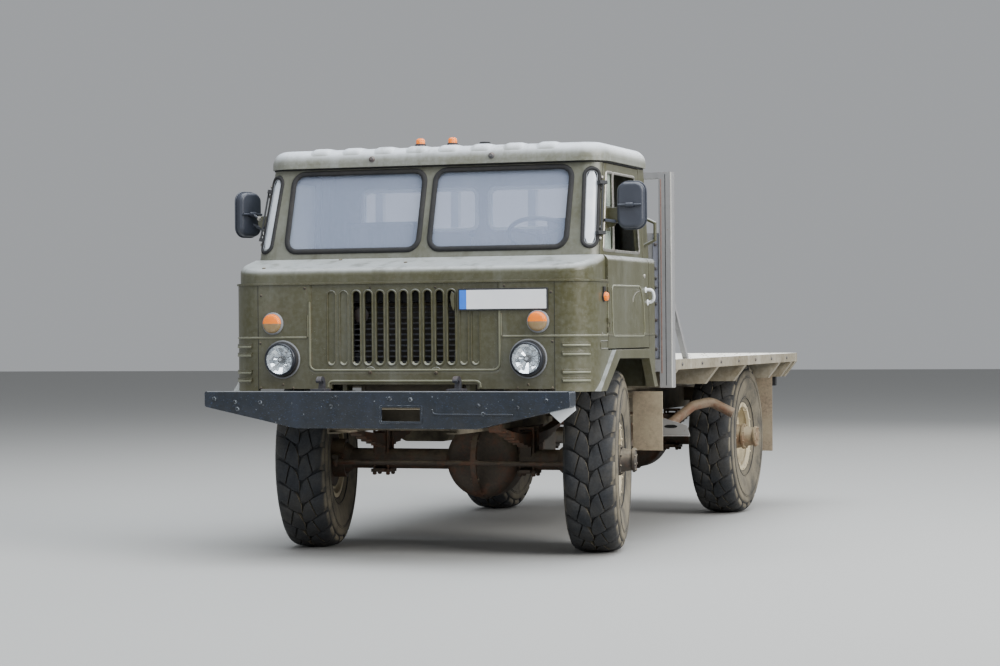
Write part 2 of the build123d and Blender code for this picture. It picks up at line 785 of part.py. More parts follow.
def body_form(inset, grow=0):
    """The solid lower body up to the waist, pulled in by inset; its upper side edges are rolled."""
    half = cab_half - inset
    with BuildPart() as form:
        extrude(
            plan(cab_bottom, half, cab_front + inset, cab_rear - inset, corner_r - inset, rear_corner_r - inset),
            amount=waist_z - cab_bottom,
        )
        roll = (
            (-half, cab_bottom), (-half, waist_z), (half, waist_z), (half, cab_bottom),
        )
        with BuildSketch(across(cab_front - 10)) as section:
            add(outline(across(cab_front - 10), roll))
            fillet(section.vertices().group_by(Axis.Y)[-1], cab_half - waist_half)
        extrude(amount=-(cab_rear - cab_front + 20), mode=Mode.INTERSECT)
        if not inset:
            extrude(
                plan(
                    crease_z, half + crease_out, cab_front - crease_out, cab_rear + crease_out,
                    corner_r + crease_out, rear_corner_r + crease_out,
                ),
                amount=crease_h,
            )
    return form.part


def house_form(inset):
    """The solid upper house from the waist to the eaves, pulled in by inset."""
    with BuildPart() as form:
        for z, half, front in ((waist_z, waist_half, glass_foot), (eaves_z, eaves_half, glass_head)):
            add(plan(
                z, half - inset, front + inset, cab_rear - inset, pillar_r - inset, max(rear_corner_r - inset, 8),
            ))
        loft()
    return form.part


def cowl_form(inset):
    """The sloping shelf below the windscreen, pulled in by inset, with its upper edge rolled."""
    half = cab_half - cowl_inset - inset
    front = cab_front + cowl_inset + inset
    top = waist_z - inset
    with BuildPart() as form:
        extrude(
            plan(shoulder_z, half, front, cab_rear - inset, corner_r - cowl_inset - inset, 8),
            amount=waist_z - shoulder_z,
        )
        extrude(outline(Plane.YZ.offset(-cab_half), (
            (front, shoulder_z), (front, top - cowl_drop), (glass_foot, top), (cab_rear, top),
            (cab_rear, shoulder_z),
        )), amount=2 * cab_half, mode=Mode.INTERSECT)
        boxes = [(edge, edge.bounding_box()) for edge in form.edges()]
        upper = [(edge, box) for edge, box in boxes if box.min.Z > top - cowl_drop - 1]
        fillet(
            [edge for edge, box in upper if box.max.Y < glass_foot + 1 and box.size.X < 2 * half - 1],
            cowl_roll - inset,
        )
    return form.part


body = body_form(0)
body_hollow = body_form(panel_t)
house = house_form(0)
house_hollow = house_form(wall_t)
reach = 2 * cab_half

# Front panel: a shallow recess with the open grille slots, and the slit above the bumper
recess_half = 604
recess_bottom = 1075
recess_depth = 7
slot_pitch = 73.4
slot_w = 48
slot_z = (1131, 1560)
slot_count = 9
blind_xs = (-451, -374, 369, 440)
blind_depth = 5
slit_half = 451
slit_top = 1018
with BuildPart() as cab_front_panel:
    add(body)
    add(body_hollow, mode=Mode.SUBTRACT)
    block((-seam_x, seam_x), (cab_front - 20, cab_front + corner_r), (front_bottom, shoulder_z), Mode.INTERSECT)
    with BuildSketch(across(cab_front - crease_out)) as recess:
        add(outline(across(cab_front - crease_out), (
            (-recess_half, recess_bottom), (recess_half, recess_bottom), (recess_half, shoulder_z + 60),
            (-recess_half, shoulder_z + 60),
        ), 50))
    extrude(amount=-(crease_out + recess_depth), mode=Mode.SUBTRACT)
    with BuildSketch(across(cab_front - crease_out)) as slots:
        with Locations((0, sum(slot_z) / 2)):
            with GridLocations(slot_pitch, 0, slot_count, 1):
                SlotOverall(slot_z[1] - slot_z[0], slot_w, rotation=90)
    extrude(amount=-2 * panel_t, mode=Mode.SUBTRACT)
    with BuildSketch(across(cab_front - crease_out)):
        for x in blind_xs:
            with Locations((x, sum(slot_z) / 2)):
                SlotOverall(slot_z[1] - slot_z[0], slot_w, rotation=90)
    extrude(amount=-(crease_out + recess_depth + blind_depth), mode=Mode.SUBTRACT)
    block((-slit_half, slit_half), (cab_front - 20, cab_front + corner_r), (front_bottom, slit_top), Mode.SUBTRACT)
export(cab_front_panel.part, "cab_front_panel")

# Sides: the front corners, the strip below each door and the flared arch about the wheel
arch_points = (
    (axle_f - 600, cab_bottom), (axle_f - 330, 1157), (axle_f + 300, 1150), (axle_f + 420, cab_bottom),
)
flare_points = (
    (axle_f - 717, cab_bottom), (axle_f - 405, 1207), (axle_f + 330, 1200), (axle_f + 495, cab_bottom),
)
flare_out = 24
side_top = door_bottom - door_gap
louvre_zs = (1040, 1087, 1189, 1240)
louvre_out = 7
louvre_h = 16
louvre_turns = (14, 60)
corner_x = cab_half - corner_r
corner_y = cab_front + corner_r
with BuildPart() as louvre_zone:
    for side, word in sides:
        with BuildSketch(Plane.XY.offset(louvre_zs[0])):
            with BuildLine():
                Polyline((side * corner_x, corner_y), *[
                    (side * (corner_x + 2 * corner_r * sin(radians(a))), corner_y - 2 * corner_r * cos(radians(a)))
                    for a in louvre_turns
                ], close=True)
            make_face()
        extrude(amount=louvre_zs[-1] + louvre_h - louvre_zs[0])
with BuildPart() as louvres:
    for z in louvre_zs:
        extrude(
            plan(z, cab_half + louvre_out, cab_front - louvre_out, cab_rear, corner_r + louvre_out, rear_corner_r),
            amount=louvre_h,
        )
    add(louvre_zone.part, mode=Mode.INTERSECT)
with BuildPart() as cab_sides:
    add(body)
    add(louvres.part)
    for side, word in sides:
        plane = Plane.YZ.offset(side * (cab_half - panel_t))
        extrude(outline(plane, flare_points), amount=side * (panel_t + flare_out))
    add(body_hollow, mode=Mode.SUBTRACT)
    extrude(outline(Plane.YZ.offset(-reach), (
        (cab_front - 20, cab_bottom), (cab_front - 20, shoulder_z), (door_front - door_gap, shoulder_z),
        (door_front - door_gap, side_top), (cab_rear - rear_corner_r, side_top),
        (cab_rear - rear_corner_r, cab_bottom),
    )), amount=2 * reach, mode=Mode.INTERSECT)
    block((-seam_x, seam_x), (cab_front - 20, cab_rear), (cab_bottom, shoulder_z), Mode.SUBTRACT)
    extrude(outline(Plane.YZ.offset(-reach), (
        (arch_points[0][0], cab_bottom - 1), *arch_points[1:3], (arch_points[3][0], cab_bottom - 1),
    )), amount=2 * reach, mode=Mode.SUBTRACT)
    for side, word in sides:
        for z in door_hinge_zs:
            for low in (z, z + 2 * (knuckle_h + knuckle_gap)):
                high = low + knuckle_h
                foot_x = sorted((side * (cab_half - 8), side * (door_pin_x + 6)))
                block(foot_x, (door_front - door_gap - 24, door_front - door_gap), (low, high))
                leaf_x = sorted((side * (cab_half + 0.5), side * (door_pin_x + 6)))
                block(leaf_x, (door_front - door_gap - 1, door_pin_y), (low, high))
                upright(side * door_pin_x, door_pin_y, low, high, knuckle_r)
                block(
                    sorted((side * (cab_half - 20), side * (cab_half + 0.5))), (door_front - door_gap + 2, door_front + 30),
                    (low, high), Mode.SUBTRACT,
                )
                upright(side * door_pin_x, door_pin_y, low, high, door_pin_r + running_gap, Mode.SUBTRACT)
export(cab_sides.part, "cab_sides")

# Cowl: the shelf below the windscreen, with its rim above the front panel
with BuildPart() as cab_cowl:
    add(cowl_form(0))
    extrude(
        plan(
            shoulder_z, cab_half + rim_out, cab_front - rim_out, cab_rear, corner_r + rim_out, rear_corner_r,
        ),
        amount=rim_h,
    )
    add(cowl_form(cowl_t), mode=Mode.SUBTRACT)
    block((-reach, reach), (cab_front - 50, door_front - door_gap), (shoulder_z, waist_z), Mode.INTERSECT)
    extrude(
        plan(
            shoulder_z, waist_half - wall_t, glass_foot + wall_t, cab_rear, pillar_r - wall_t, 8,
        ),
        amount=waist_z - shoulder_z, mode=Mode.SUBTRACT,
    )
export(cab_cowl.part, "cab_cowl")

# Windows: the two halves of the windscreen, the corner lights, the rear pair and the side pair
lean_deg = 28
corner_foot = Vector(waist_half - pillar_r, glass_foot + pillar_r, waist_z)
corner_head = Vector(eaves_half - pillar_r, glass_head + pillar_r, eaves_z)
corner_out = Vector(sin(radians(lean_deg)), -cos(radians(lean_deg)), 0)
light_margin = 78
corner_light_h = eaves_z - waist_z - light_margin
corner_light_w = 84
with BuildPart() as screen_cutter:
    with BuildSketch(across(cab_front)):
        for side, word in sides:
            with Locations((side * (screen_half + post_half) / 2, (screen_z0 + screen_z1) / 2)):
                RectangleRounded(screen_half - post_half, screen_z1 - screen_z0, screen_r)
    extrude(amount=-(glass_head - cab_front + 100))
with BuildPart() as corner_cutter:
    corner_x = Vector(cos(radians(lean_deg)), sin(radians(lean_deg)), 0)
    corner_mid = (corner_foot + corner_head) * 0.5 + corner_out * (pillar_r - wall_t - 30)
    corner_run = corner_head - corner_foot
    corner_normal = corner_x.cross(corner_run)
    with BuildSketch(Plane(origin=corner_mid, x_dir=corner_run.cross(corner_normal), z_dir=corner_normal)):
        SlotOverall(corner_light_h, corner_light_w, rotation=90)
    extrude(amount=110)
    mirror(about=Plane.YZ)
with BuildPart() as rear_cutter:
    with BuildSketch(across(cab_rear - 100)):
        for side, word in sides:
            with Locations((side * (rear_inner + rear_outer) / 2, (rear_z0 + rear_z1) / 2)):
                RectangleRounded(rear_outer - rear_inner, rear_z1 - rear_z0, 45)
    extrude(amount=-200)

door_lean = (door_top_front - door_front) / (door_top - waist_z)
side_frame = 30
side_rear_frame = 60
vent_w = 200
vent_top_w = 118
bar_w = 12


def sash_y(z):
    """Where the door's leaning front edge is at a height."""
    return door_front + (z - waist_z) * door_lean


low_y = sash_y(side_sill) + side_frame
high_y = sash_y(side_head) + side_frame
vent_points = (
    (low_y, side_sill), (low_y + vent_w, side_sill), (high_y + vent_top_w, side_head), (high_y, side_head),
)
drop_points = (
    (low_y + vent_w + bar_w, side_sill), (door_rear - side_rear_frame, side_sill),
    (door_rear - side_rear_frame - 25, side_head), (high_y + vent_top_w + bar_w, side_head),
)

# Pillars: the windscreen frame and the front corners
with BuildPart() as cab_pillars:
    add(house)
    add(house_hollow, mode=Mode.SUBTRACT)
    extrude(outline(Plane.YZ.offset(-reach), (
        (cab_front, waist_z), (door_front - door_gap, waist_z),
        (sash_y(eaves_z) - door_gap, eaves_z), (cab_front, eaves_z),
    )), amount=2 * reach, mode=Mode.INTERSECT)
    add(screen_cutter.part, mode=Mode.SUBTRACT)
    add(corner_cutter.part, mode=Mode.SUBTRACT)
export(cab_pillars.part, "cab_pillars")

# Rear wall: the back of the cab with both rear corners up to the doors, and the grab handles
handle_y = door_rear + 55
handle_r = 10
shaft_half = 440
rear_cut_z = 1110
handle_out = 28
handle_zs = (1825, 1868, 1972, 2016)
handle_xs = (waist_half - 23, cab_half + handle_out, cab_half + handle_out, eaves_half - 1)
handle_run = tuple(zip(handle_xs, handle_zs))
with BuildPart() as cab_rear_wall:
    add(body)
    add(house)
    extrude(
        plan(cab_bottom, inner_half, cab_front, cab_rear - panel_t, 8, rear_corner_r - panel_t),
        amount=waist_z - cab_bottom, mode=Mode.SUBTRACT,
    )
    add(house_form(sash_t), mode=Mode.SUBTRACT)
    extrude(outline(Plane.YZ.offset(-reach), (
        (door_rear + door_gap, side_top), (door_rear + door_gap, eaves_z), (cab_rear + 20, eaves_z),
        (cab_rear + 20, cab_bottom), (cab_rear - rear_corner_r, cab_bottom), (cab_rear - rear_corner_r, side_top),
    )), amount=2 * reach, mode=Mode.INTERSECT)
    add(rear_cutter.part, mode=Mode.SUBTRACT)
    block((-shaft_half, shaft_half), (cab_rear - 100, cab_rear + 20), (cab_bottom, rear_cut_z), Mode.SUBTRACT)
    for side, word in sides:
        points = [(side * x, handle_y, z) for x, z in handle_run]
        for start, end in zip(points, points[1:]):
            rod(start, end, handle_r)
        with Locations(*points[1:3]):
            Sphere(handle_r)
export(cab_rear_wall.part, "cab_rear_wall")

# Roof: a crowned shell with a drip edge and raised ribs
roof_front = glass_head - roof_out - 10
rib_pitch = 205
rib_count = 8
rib_h = 8
rib_section = ((-32, -2), (-20, rib_h), (20, rib_h), (32, -2))
with BuildPart() as cab_roof:
    extrude(
        plan(
            eaves_z, eaves_half + roof_out, roof_front, cab_rear + roof_out, pillar_r + roof_out + 30,
            rear_corner_r + roof_out + 30,
        ),
        amount=roof_top - eaves_z,
    )
    fillet(cab_roof.faces().sort_by(Axis.Z)[-1].edges(), roof_crown_r)
    extrude(
        plan(
            eaves_z, eaves_half - wall_t, glass_head + wall_t, cab_rear - wall_t, pillar_r - wall_t, 30,
        ),
        amount=roof_top - roof_t - eaves_z, mode=Mode.SUBTRACT,
    )
    for n in range(rib_count):
        x = (n - (rib_count - 1) / 2) * rib_pitch
        rib = [(x + dx, roof_top + dz) for dx, dz in rib_section]
        start = roof_front + roof_crown_r
        extrude(outline(across(start), rib), amount=-(cab_rear + roof_out - roof_crown_r - start))
export(cab_roof.part, "cab_roof")

# Doors: a deep lower body and a thin leaning sash, with a vent light ahead of the drop light
door_points = (
    (door_front, door_bottom), (door_front, waist_z), (door_top_front, door_top), (door_rear, door_top),
    (door_rear, door_bottom),
)
with BuildPart() as door_pair:
    add(body)
    add(house)
    extrude(plan(cab_bottom, inner_half, cab_front, cab_rear, 8, 8), amount=waist_z - cab_bottom, mode=Mode.SUBTRACT)
    add(house_form(sash_t), mode=Mode.SUBTRACT)
    extrude(outline(Plane.YZ.offset(-reach), door_points), amount=2 * reach, mode=Mode.INTERSECT)
    for points in (vent_points, drop_points):
        extrude(outline(Plane.YZ.offset(-reach), points, 20), amount=2 * reach, mode=Mode.SUBTRACT)
for side, word in sides:
    with BuildPart() as door:
        add(door_pair.part.solids().sort_by(Axis.X)[-1 if side > 0 else 0])
        for z in door_hinge_zs:
            low = z + knuckle_h + knuckle_gap
            upright(side * door_pin_x, door_pin_y, low, low + knuckle_h, knuckle_r)
            upright(side * door_pin_x, door_pin_y, z, z + 3 * knuckle_h, door_pin_r)
            for notch in (z, z + 2 * (knuckle_h + knuckle_gap)):
                upright(
                    side * door_pin_x, door_pin_y, notch - knuckle_gap, notch + knuckle_h + knuckle_gap,
                    knuckle_r + 2, Mode.SUBTRACT,
                )
            upright(side * door_pin_x, door_pin_y, z, z + 3 * knuckle_h, door_pin_r)
    export(door.part, f"door_{word}")

# Glass: thin shells between two forms, cut to each window's outline
glass_depth = 12
with BuildPart() as glass_skin:
    add(house_form(glass_depth))
    add(house_form(glass_depth + pane_t), mode=Mode.SUBTRACT)
with BuildPart() as cab_glass:
    add(screen_cutter.part)
    add(corner_cutter.part)
    add(rear_cutter.part)
    add(glass_skin.part, mode=Mode.INTERSECT)
export(cab_glass.part, "cab_glass")
for side, word in sides:
    with BuildPart() as door_glass:
        plane = Plane.YZ.offset(side * inner_half * 0.9)
        extrude(outline(plane, vent_points, 20), amount=side * cab_half * 0.2)
        if side < 0:
            extrude(outline(plane, drop_points, 20), amount=side * cab_half * 0.2)
        add(glass_skin.part, mode=Mode.INTERSECT)
    export(door_glass.part, f"door_glass_{word}")

# Floor with its tunnel, the hinge ears that reach down to the frame, and the engine cover
floor_top = floor_z + floor_t
with BuildPart() as cab_floor:
    front_part = plan(floor_z, cab_half - panel_t, cab_front + panel_t, cab_rear - rear_corner_r, corner_r - panel_t, 1)
    extrude(front_part, amount=floor_t)
    rear_part = plan(floor_z, inner_half, axle_f, cab_rear - panel_t, 8, rear_corner_r - panel_t)
    extrude(rear_part, amount=floor_t)
    block((-tunnel_half, tunnel_half), (cab_front, tunnel_rear), (floor_z, floor_top), Mode.SUBTRACT)
    for side, word in sides:
        ear_x = sorted((side * (rail_out - 30), side * (rail_out - 30 + ear_t)))
        block(ear_x, (hinge_y - 28, hinge_y + 60), (hinge_z - 25, floor_z))
        with Locations(Location((side * rail_out, hinge_y, hinge_z), (0, 90, 0))):
            Cylinder(hinge_r + running_gap, 100, mode=Mode.SUBTRACT)
export(cab_floor.part, "cab_floor")

with BuildPart() as engine_cover:
    cover_y = (cab_front + panel_t, tunnel_rear + cover_t)
    block((-tunnel_half - cover_t, tunnel_half + cover_t), cover_y, (floor_top, cover_top))
    fillet(engine_cover.edges().filter_by(Axis.Y).group_by(Axis.Z)[-1], 40)
    block((-tunnel_half, tunnel_half), (cover_y[0], tunnel_rear), (floor_top, cover_top - cover_t), Mode.SUBTRACT)
export(engine_cover.part, "engine_cover")

# Seats, dashboard, steering wheel
seat_w = 500
seat_in = 200
seat_x = (cab_half - seat_in - seat_w, cab_half - seat_in)
seat_z = (1430, 1560)
seat_y = (axle_f - 100, axle_f + 400)
seat_back_top = 2050
with BuildPart() as seats:
    for side, word in sides:
        span = sorted((side * seat_x[0], side * seat_x[1]))
        with BuildSketch(Plane.YZ.offset(span[0])):
            with BuildLine():
                FilletPolyline(
                    (seat_y[0], seat_z[0]), (seat_y[0], seat_z[1]), (seat_y[1] - 20, seat_z[1] - 20),
                    (seat_y[1] + 40, seat_back_top), (seat_y[1] + 130, seat_back_top), (seat_y[1] + 80, seat_z[0]), radius=30,
                    close=True,
                )
            make_face()
        extrude(amount=seat_x[1] - seat_x[0])
        base_x = sorted((side * (seat_x[0] + 50), side * (seat_x[1] - 50)))
        block(base_x, (seat_y[0] + 60, seat_y[1]), (floor_top, seat_z[0]))
export(seats.part, "seats")

dash_gap = 0.3
dash_bevel = 12
with BuildPart() as dashboard:
    dash_half = cab_half - cowl_inset - cowl_t - dash_gap
    block((-dash_half, dash_half), (axle_f - 632, axle_f - 545), (1560, 1695))
    chamfer(dashboard.edges().filter_by(Axis.Y).group_by(Axis.Z)[-1], dash_bevel)
    fillet(dashboard.edges().filter_by(Axis.X).group_by(Axis.Y)[-1], 20)
export(dashboard.part, "dashboard")

wheel_x = sum(seat_x) / 2 - 20
wheel_centre = Vector(wheel_x, axle_f - 240, 1880)
column_foot = Vector(wheel_x + 20, axle_f - 620, floor_top + 10)
column = wheel_centre - column_foot
column_r = 22
wheel_ring_r = 200
wheel_ring_t = 13
wheel_hub_r = 45
with BuildPart() as steering_wheel:
    rod(column_foot, wheel_centre, column_r)
    block((wheel_x - 10, wheel_x + 50), (axle_f - 660, axle_f - 580), (floor_top, floor_top + 30))
    block((wheel_x - 50, wheel_x + 90), (axle_f - 700, axle_f - 540), (floor_z, floor_top), Mode.SUBTRACT)
    with Locations(Plane(origin=wheel_centre, x_dir=(1, 0, 0), z_dir=column).location):
        Torus(wheel_ring_r, wheel_ring_t)
        with PolarLocations(95, 3, 90):
            Box(210, 26, 8)
        Cylinder(wheel_hub_r, 30)
export(steering_wheel.part, "steering_wheel")

# Lamps: headlamps with their rings, turn lamps, side repeaters and roof lamps
lamp_in = 361
lamp_x = cab_half - lamp_in
lamp_z = 1164
lamp_r = 105
lens_r = 88
lamp_out = 55
lens_depth = 12
with BuildPart() as headlamps:
    with BuildSketch(across(cab_front)):
        with Locations(*[(side * lamp_x, lamp_z) for side, word in sides]):
            Circle(lamp_r)
    extrude(amount=lamp_out)
    fillet(headlamps.edges().filter_by(GeomType.CIRCLE).group_by(Axis.Y)[0], 10)
    with BuildSketch(across(cab_front - lamp_out)):
        with Locations(*[(side * lamp_x, lamp_z) for side, word in sides]):
            Circle(lens_r)
    extrude(amount=-lens_depth, mode=Mode.SUBTRACT)
export(headlamps.part, "headlamps")

turn_in = 301
turn_x = cab_half - turn_in
turn_z = 1375
turn_ring_r = 66
turn_lens_r = 57
turn_out = 38
repeater_r = 26
repeater_out = 30
repeater_y = axle_f - 560
repeater_z = 1518
roof_lamp_y = roof_front + roof_crown_r + 30
roof_foot_r = 34
roof_foot_h = 14
roof_lens_r = 27
roof_lamp_h = 48
with BuildPart() as marker_lamps:
    for side, word in sides:
        centre = (side * turn_x, cab_front, turn_z)
        rod(centre, (centre[0], cab_front - 10, turn_z), turn_ring_r)
        rod(centre, (centre[0], cab_front - turn_out, turn_z), turn_lens_r)
        repeater = (side * cab_half, repeater_y, repeater_z)
        rod(repeater, (side * (cab_half + repeater_out), repeater_y, repeater_z), repeater_r)
    for n in (-0.5, 0.5, 1.5):
        foot = (n * rib_pitch, roof_lamp_y, roof_top + rib_h)
        rod(foot, (foot[0], foot[1], foot[2] + roof_foot_h), roof_foot_r)
        if n < 1:
            rod(foot, (foot[0], foot[1], foot[2] + roof_lamp_h), roof_lens_r)
export(marker_lamps.part, "marker_lamps")

# Mirrors: a rounded head on a thin arm from each door's sash; the right one is turned in
mirror_h = 269
mirror_drop = 129
mirror_z = (eaves_z - mirror_drop - mirror_h, eaves_z - mirror_drop)
mirror_w = 163
mirror_t = 62
mirror_y = axle_f - 280
mirror_out = cab_half + 176
arm_r = 9
arm_z = (mirror_z[0] + 108, mirror_z[0] + 38)
with BuildPart() as mirror_form:
    with BuildSketch(Plane.XZ):
        RectangleRounded(mirror_w, mirror_z[1] - mirror_z[0], 55)
    extrude(amount=mirror_t)
    fillet(mirror_form.edges().group_by(Axis.Y)[0], 22)
for side, word in sides:
    turn = 0 if side > 0 else 62
    half_span = (mirror_w / 2) * cos(radians(turn))
    head_x = side * (mirror_out - half_span)
    elbow = (side * (cab_half + 20), mirror_y + 10, arm_z[1])
    with BuildPart() as mirror_head:
        add(placed(mirror_form.part, head_x, mirror_y, sum(mirror_z) / 2, turn))
        rod((head_x, mirror_y - mirror_t / 2, arm_z[0]), elbow, arm_r)
        foot_z = arm_z[1] + 10
        foot_x = waist_half - (foot_z - waist_z) * (waist_half - eaves_half) / (eaves_z - waist_z)
        rod(elbow, (side * (foot_x + arm_r / 2), sash_y(foot_z) + side_frame / 2, foot_z), arm_r)
    export(mirror_head.part, f"mirror_{word}")
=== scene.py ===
import json
from math import cos, exp, pi, radians, sin, sqrt

import bmesh
import bpy
from mathutils import Matrix, Vector


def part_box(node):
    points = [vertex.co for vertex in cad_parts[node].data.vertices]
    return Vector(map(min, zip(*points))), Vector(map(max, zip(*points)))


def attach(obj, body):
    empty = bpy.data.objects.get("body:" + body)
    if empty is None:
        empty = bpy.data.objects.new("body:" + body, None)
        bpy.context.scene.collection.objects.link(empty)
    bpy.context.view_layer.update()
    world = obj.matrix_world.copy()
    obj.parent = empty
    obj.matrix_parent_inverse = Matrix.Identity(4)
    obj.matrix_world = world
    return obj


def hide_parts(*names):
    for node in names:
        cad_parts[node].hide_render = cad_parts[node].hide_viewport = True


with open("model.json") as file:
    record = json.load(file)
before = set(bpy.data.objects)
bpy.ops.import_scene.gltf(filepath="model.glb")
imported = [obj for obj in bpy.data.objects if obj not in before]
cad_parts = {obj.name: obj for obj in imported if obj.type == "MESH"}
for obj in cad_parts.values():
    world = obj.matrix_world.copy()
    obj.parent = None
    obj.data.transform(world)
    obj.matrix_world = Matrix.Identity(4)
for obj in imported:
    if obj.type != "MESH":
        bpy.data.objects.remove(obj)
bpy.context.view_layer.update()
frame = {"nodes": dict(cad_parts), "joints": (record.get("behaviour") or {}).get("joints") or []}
joints = {joint["name"]: joint for joint in frame["joints"]}
scene = bpy.context.scene
SIDES = ((1, "left"), (-1, "right"))
WHEELS = ("front_left", "front_right", "rear_left", "rear_right")
AHEAD = Vector((0, -1, 0))
UP = Vector((0, 0, 1))

# Places shared by many pieces, in metres
AXLE_F = joints["steer_left"]["pos_m"][1]
AXLE_R = joints["rear_wheel_left_spin"]["pos_m"][1]
WHEEL_Z = joints["steer_left"]["pos_m"][2]
STEER_REST = radians(11)
BLOCK_FACES = [(3, 2, 1, 0), (4, 5, 6, 7), (0, 1, 5, 4), (1, 2, 6, 5), (2, 3, 7, 6), (3, 0, 4, 7)]
CAB_HALF = 1.12
CORNER_R = 0.215
SHOULDER_Z = 1.6
WAIST_Z = 1.757
EAVES_Z = 2.31
WAIST_HALF = 1.083
EAVES_HALF = 1.053
GLASS_FOOT = AXLE_F - 0.54
GLASS_HEAD = AXLE_F - 0.365
CAB_REAR = AXLE_F + 0.57
DOOR_FRONT = AXLE_F - 0.478
DOOR_REAR = AXLE_F + 0.38
bed_low, bed_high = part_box("bed_edge")


class Graph:
    """A material's nodes, made by short calls."""
    def __init__(self, name):
        self.material = bpy.data.materials.new(name)
        self.material.use_nodes = True
        self.tree = self.material.node_tree
        self.shader = next(n for n in self.tree.nodes if n.type == "BSDF_PRINCIPLED")
        self.place = self.node("ShaderNodeTexCoord").outputs["Object"]

    def node(self, kind, settings=None, **inputs):
        made = self.tree.nodes.new(kind)
        for key, value in (settings or {}).items():
            setattr(made, key, value)
        for key, value in inputs.items():
            self.put(made.inputs[int(key[1:]) if key[1:].isdigit() else key], value)
        return made

    def put(self, socket, value):
        if isinstance(value, bpy.types.NodeSocket):
            self.tree.links.new(value, socket)
        else:
            socket.default_value = value

    def set(self, **inputs):
        for key, value in inputs.items():
            self.put(self.shader.inputs[key.replace("_", " ")], value)

    def math(self, operation, a, b=0.0, clamp=False):
        settings = {"operation": operation, "use_clamp": clamp}
        return self.node("ShaderNodeMath", settings, i0=a, i1=b).outputs[0]

    def times(self, a, b):
        return self.math("MULTIPLY", a, b)

    def plus(self, a, b, clamp=False):
        return self.math("ADD", a, b, clamp)

    def stretched(self, x, y, z, shift=0.0):
        made = self.node("ShaderNodeMapping", Vector=self.place, Scale=(x, y, z), Location=(shift,) * 3)
        return made.outputs[0]

    def noise(self, scale, detail=3.0, rough=0.5, place=None):
        place = place or self.place
        made = self.node("ShaderNodeTexNoise", Vector=place, Scale=scale, Detail=detail, Roughness=rough)
        return made.outputs[0]

    def ramp(self, value, low, high, start=0.0, end=1.0):
        settings = {"interpolation_type": "SMOOTHSTEP"}
        made = self.node("ShaderNodeMapRange", settings, Value=value, i1=low, i2=high, i3=start, i4=end)
        return made.outputs[0]

    def patches(self, scale, detail, rough, low, high):
        return self.ramp(self.noise(scale, detail, rough), low, high)

    def mix(self, factor, a, b):
        made = self.node("ShaderNodeMix", {"data_type": "RGBA"})
        self.put(made.inputs[0], factor)
        self.put(made.inputs[6], (*a, 1.0) if isinstance(a, tuple) else a)
        self.put(made.inputs[7], (*b, 1.0) if isinstance(b, tuple) else b)
        return made.outputs[2]

    def axis(self, letter, socket="Object"):
        source = self.node("ShaderNodeTexCoord").outputs[socket]
        return self.node("ShaderNodeSeparateXYZ", Vector=source).outputs["XYZ".index(letter)]

    def rounding(self, radius):
        return self.node("ShaderNodeBevel", {"samples": 4}, Radius=radius).outputs[0]

    def edges(self, radius, low=0.004, high=0.05):
        soft = self.rounding(radius)
        plain = self.node("ShaderNodeNewGeometry").outputs["Normal"]
        dot = self.node("ShaderNodeVectorMath", {"operation": "DOT_PRODUCT"}, i0=soft, i1=plain)
        return self.ramp(self.math("SUBTRACT", 1.0, dot.outputs["Value"]), low, high)

    def bump(self, height, strength, distance=0.002, radius=0.0):
        under = self.rounding(radius) if radius else None
        made = self.node("ShaderNodeBump", Height=height, Strength=strength, Distance=distance)
        if under:
            self.put(made.inputs["Normal"], under)
        self.set(Normal=made.outputs[0])


def srgb(tone):
    """A colour given as it looks on screen, 0 to 255."""
    def linear(c):
        c /= 255
        return c / 12.92 if c <= 0.04045 else ((c + 0.055) / 1.055) ** 2.4
    return tuple(linear(c) for c in tone)


def lighter(tone, factor, lift=0.0):
    return tuple(min(c * factor + lift, 1) for c in tone)


DUST = srgb((168, 156, 130))
RUST = (112, 66, 42)


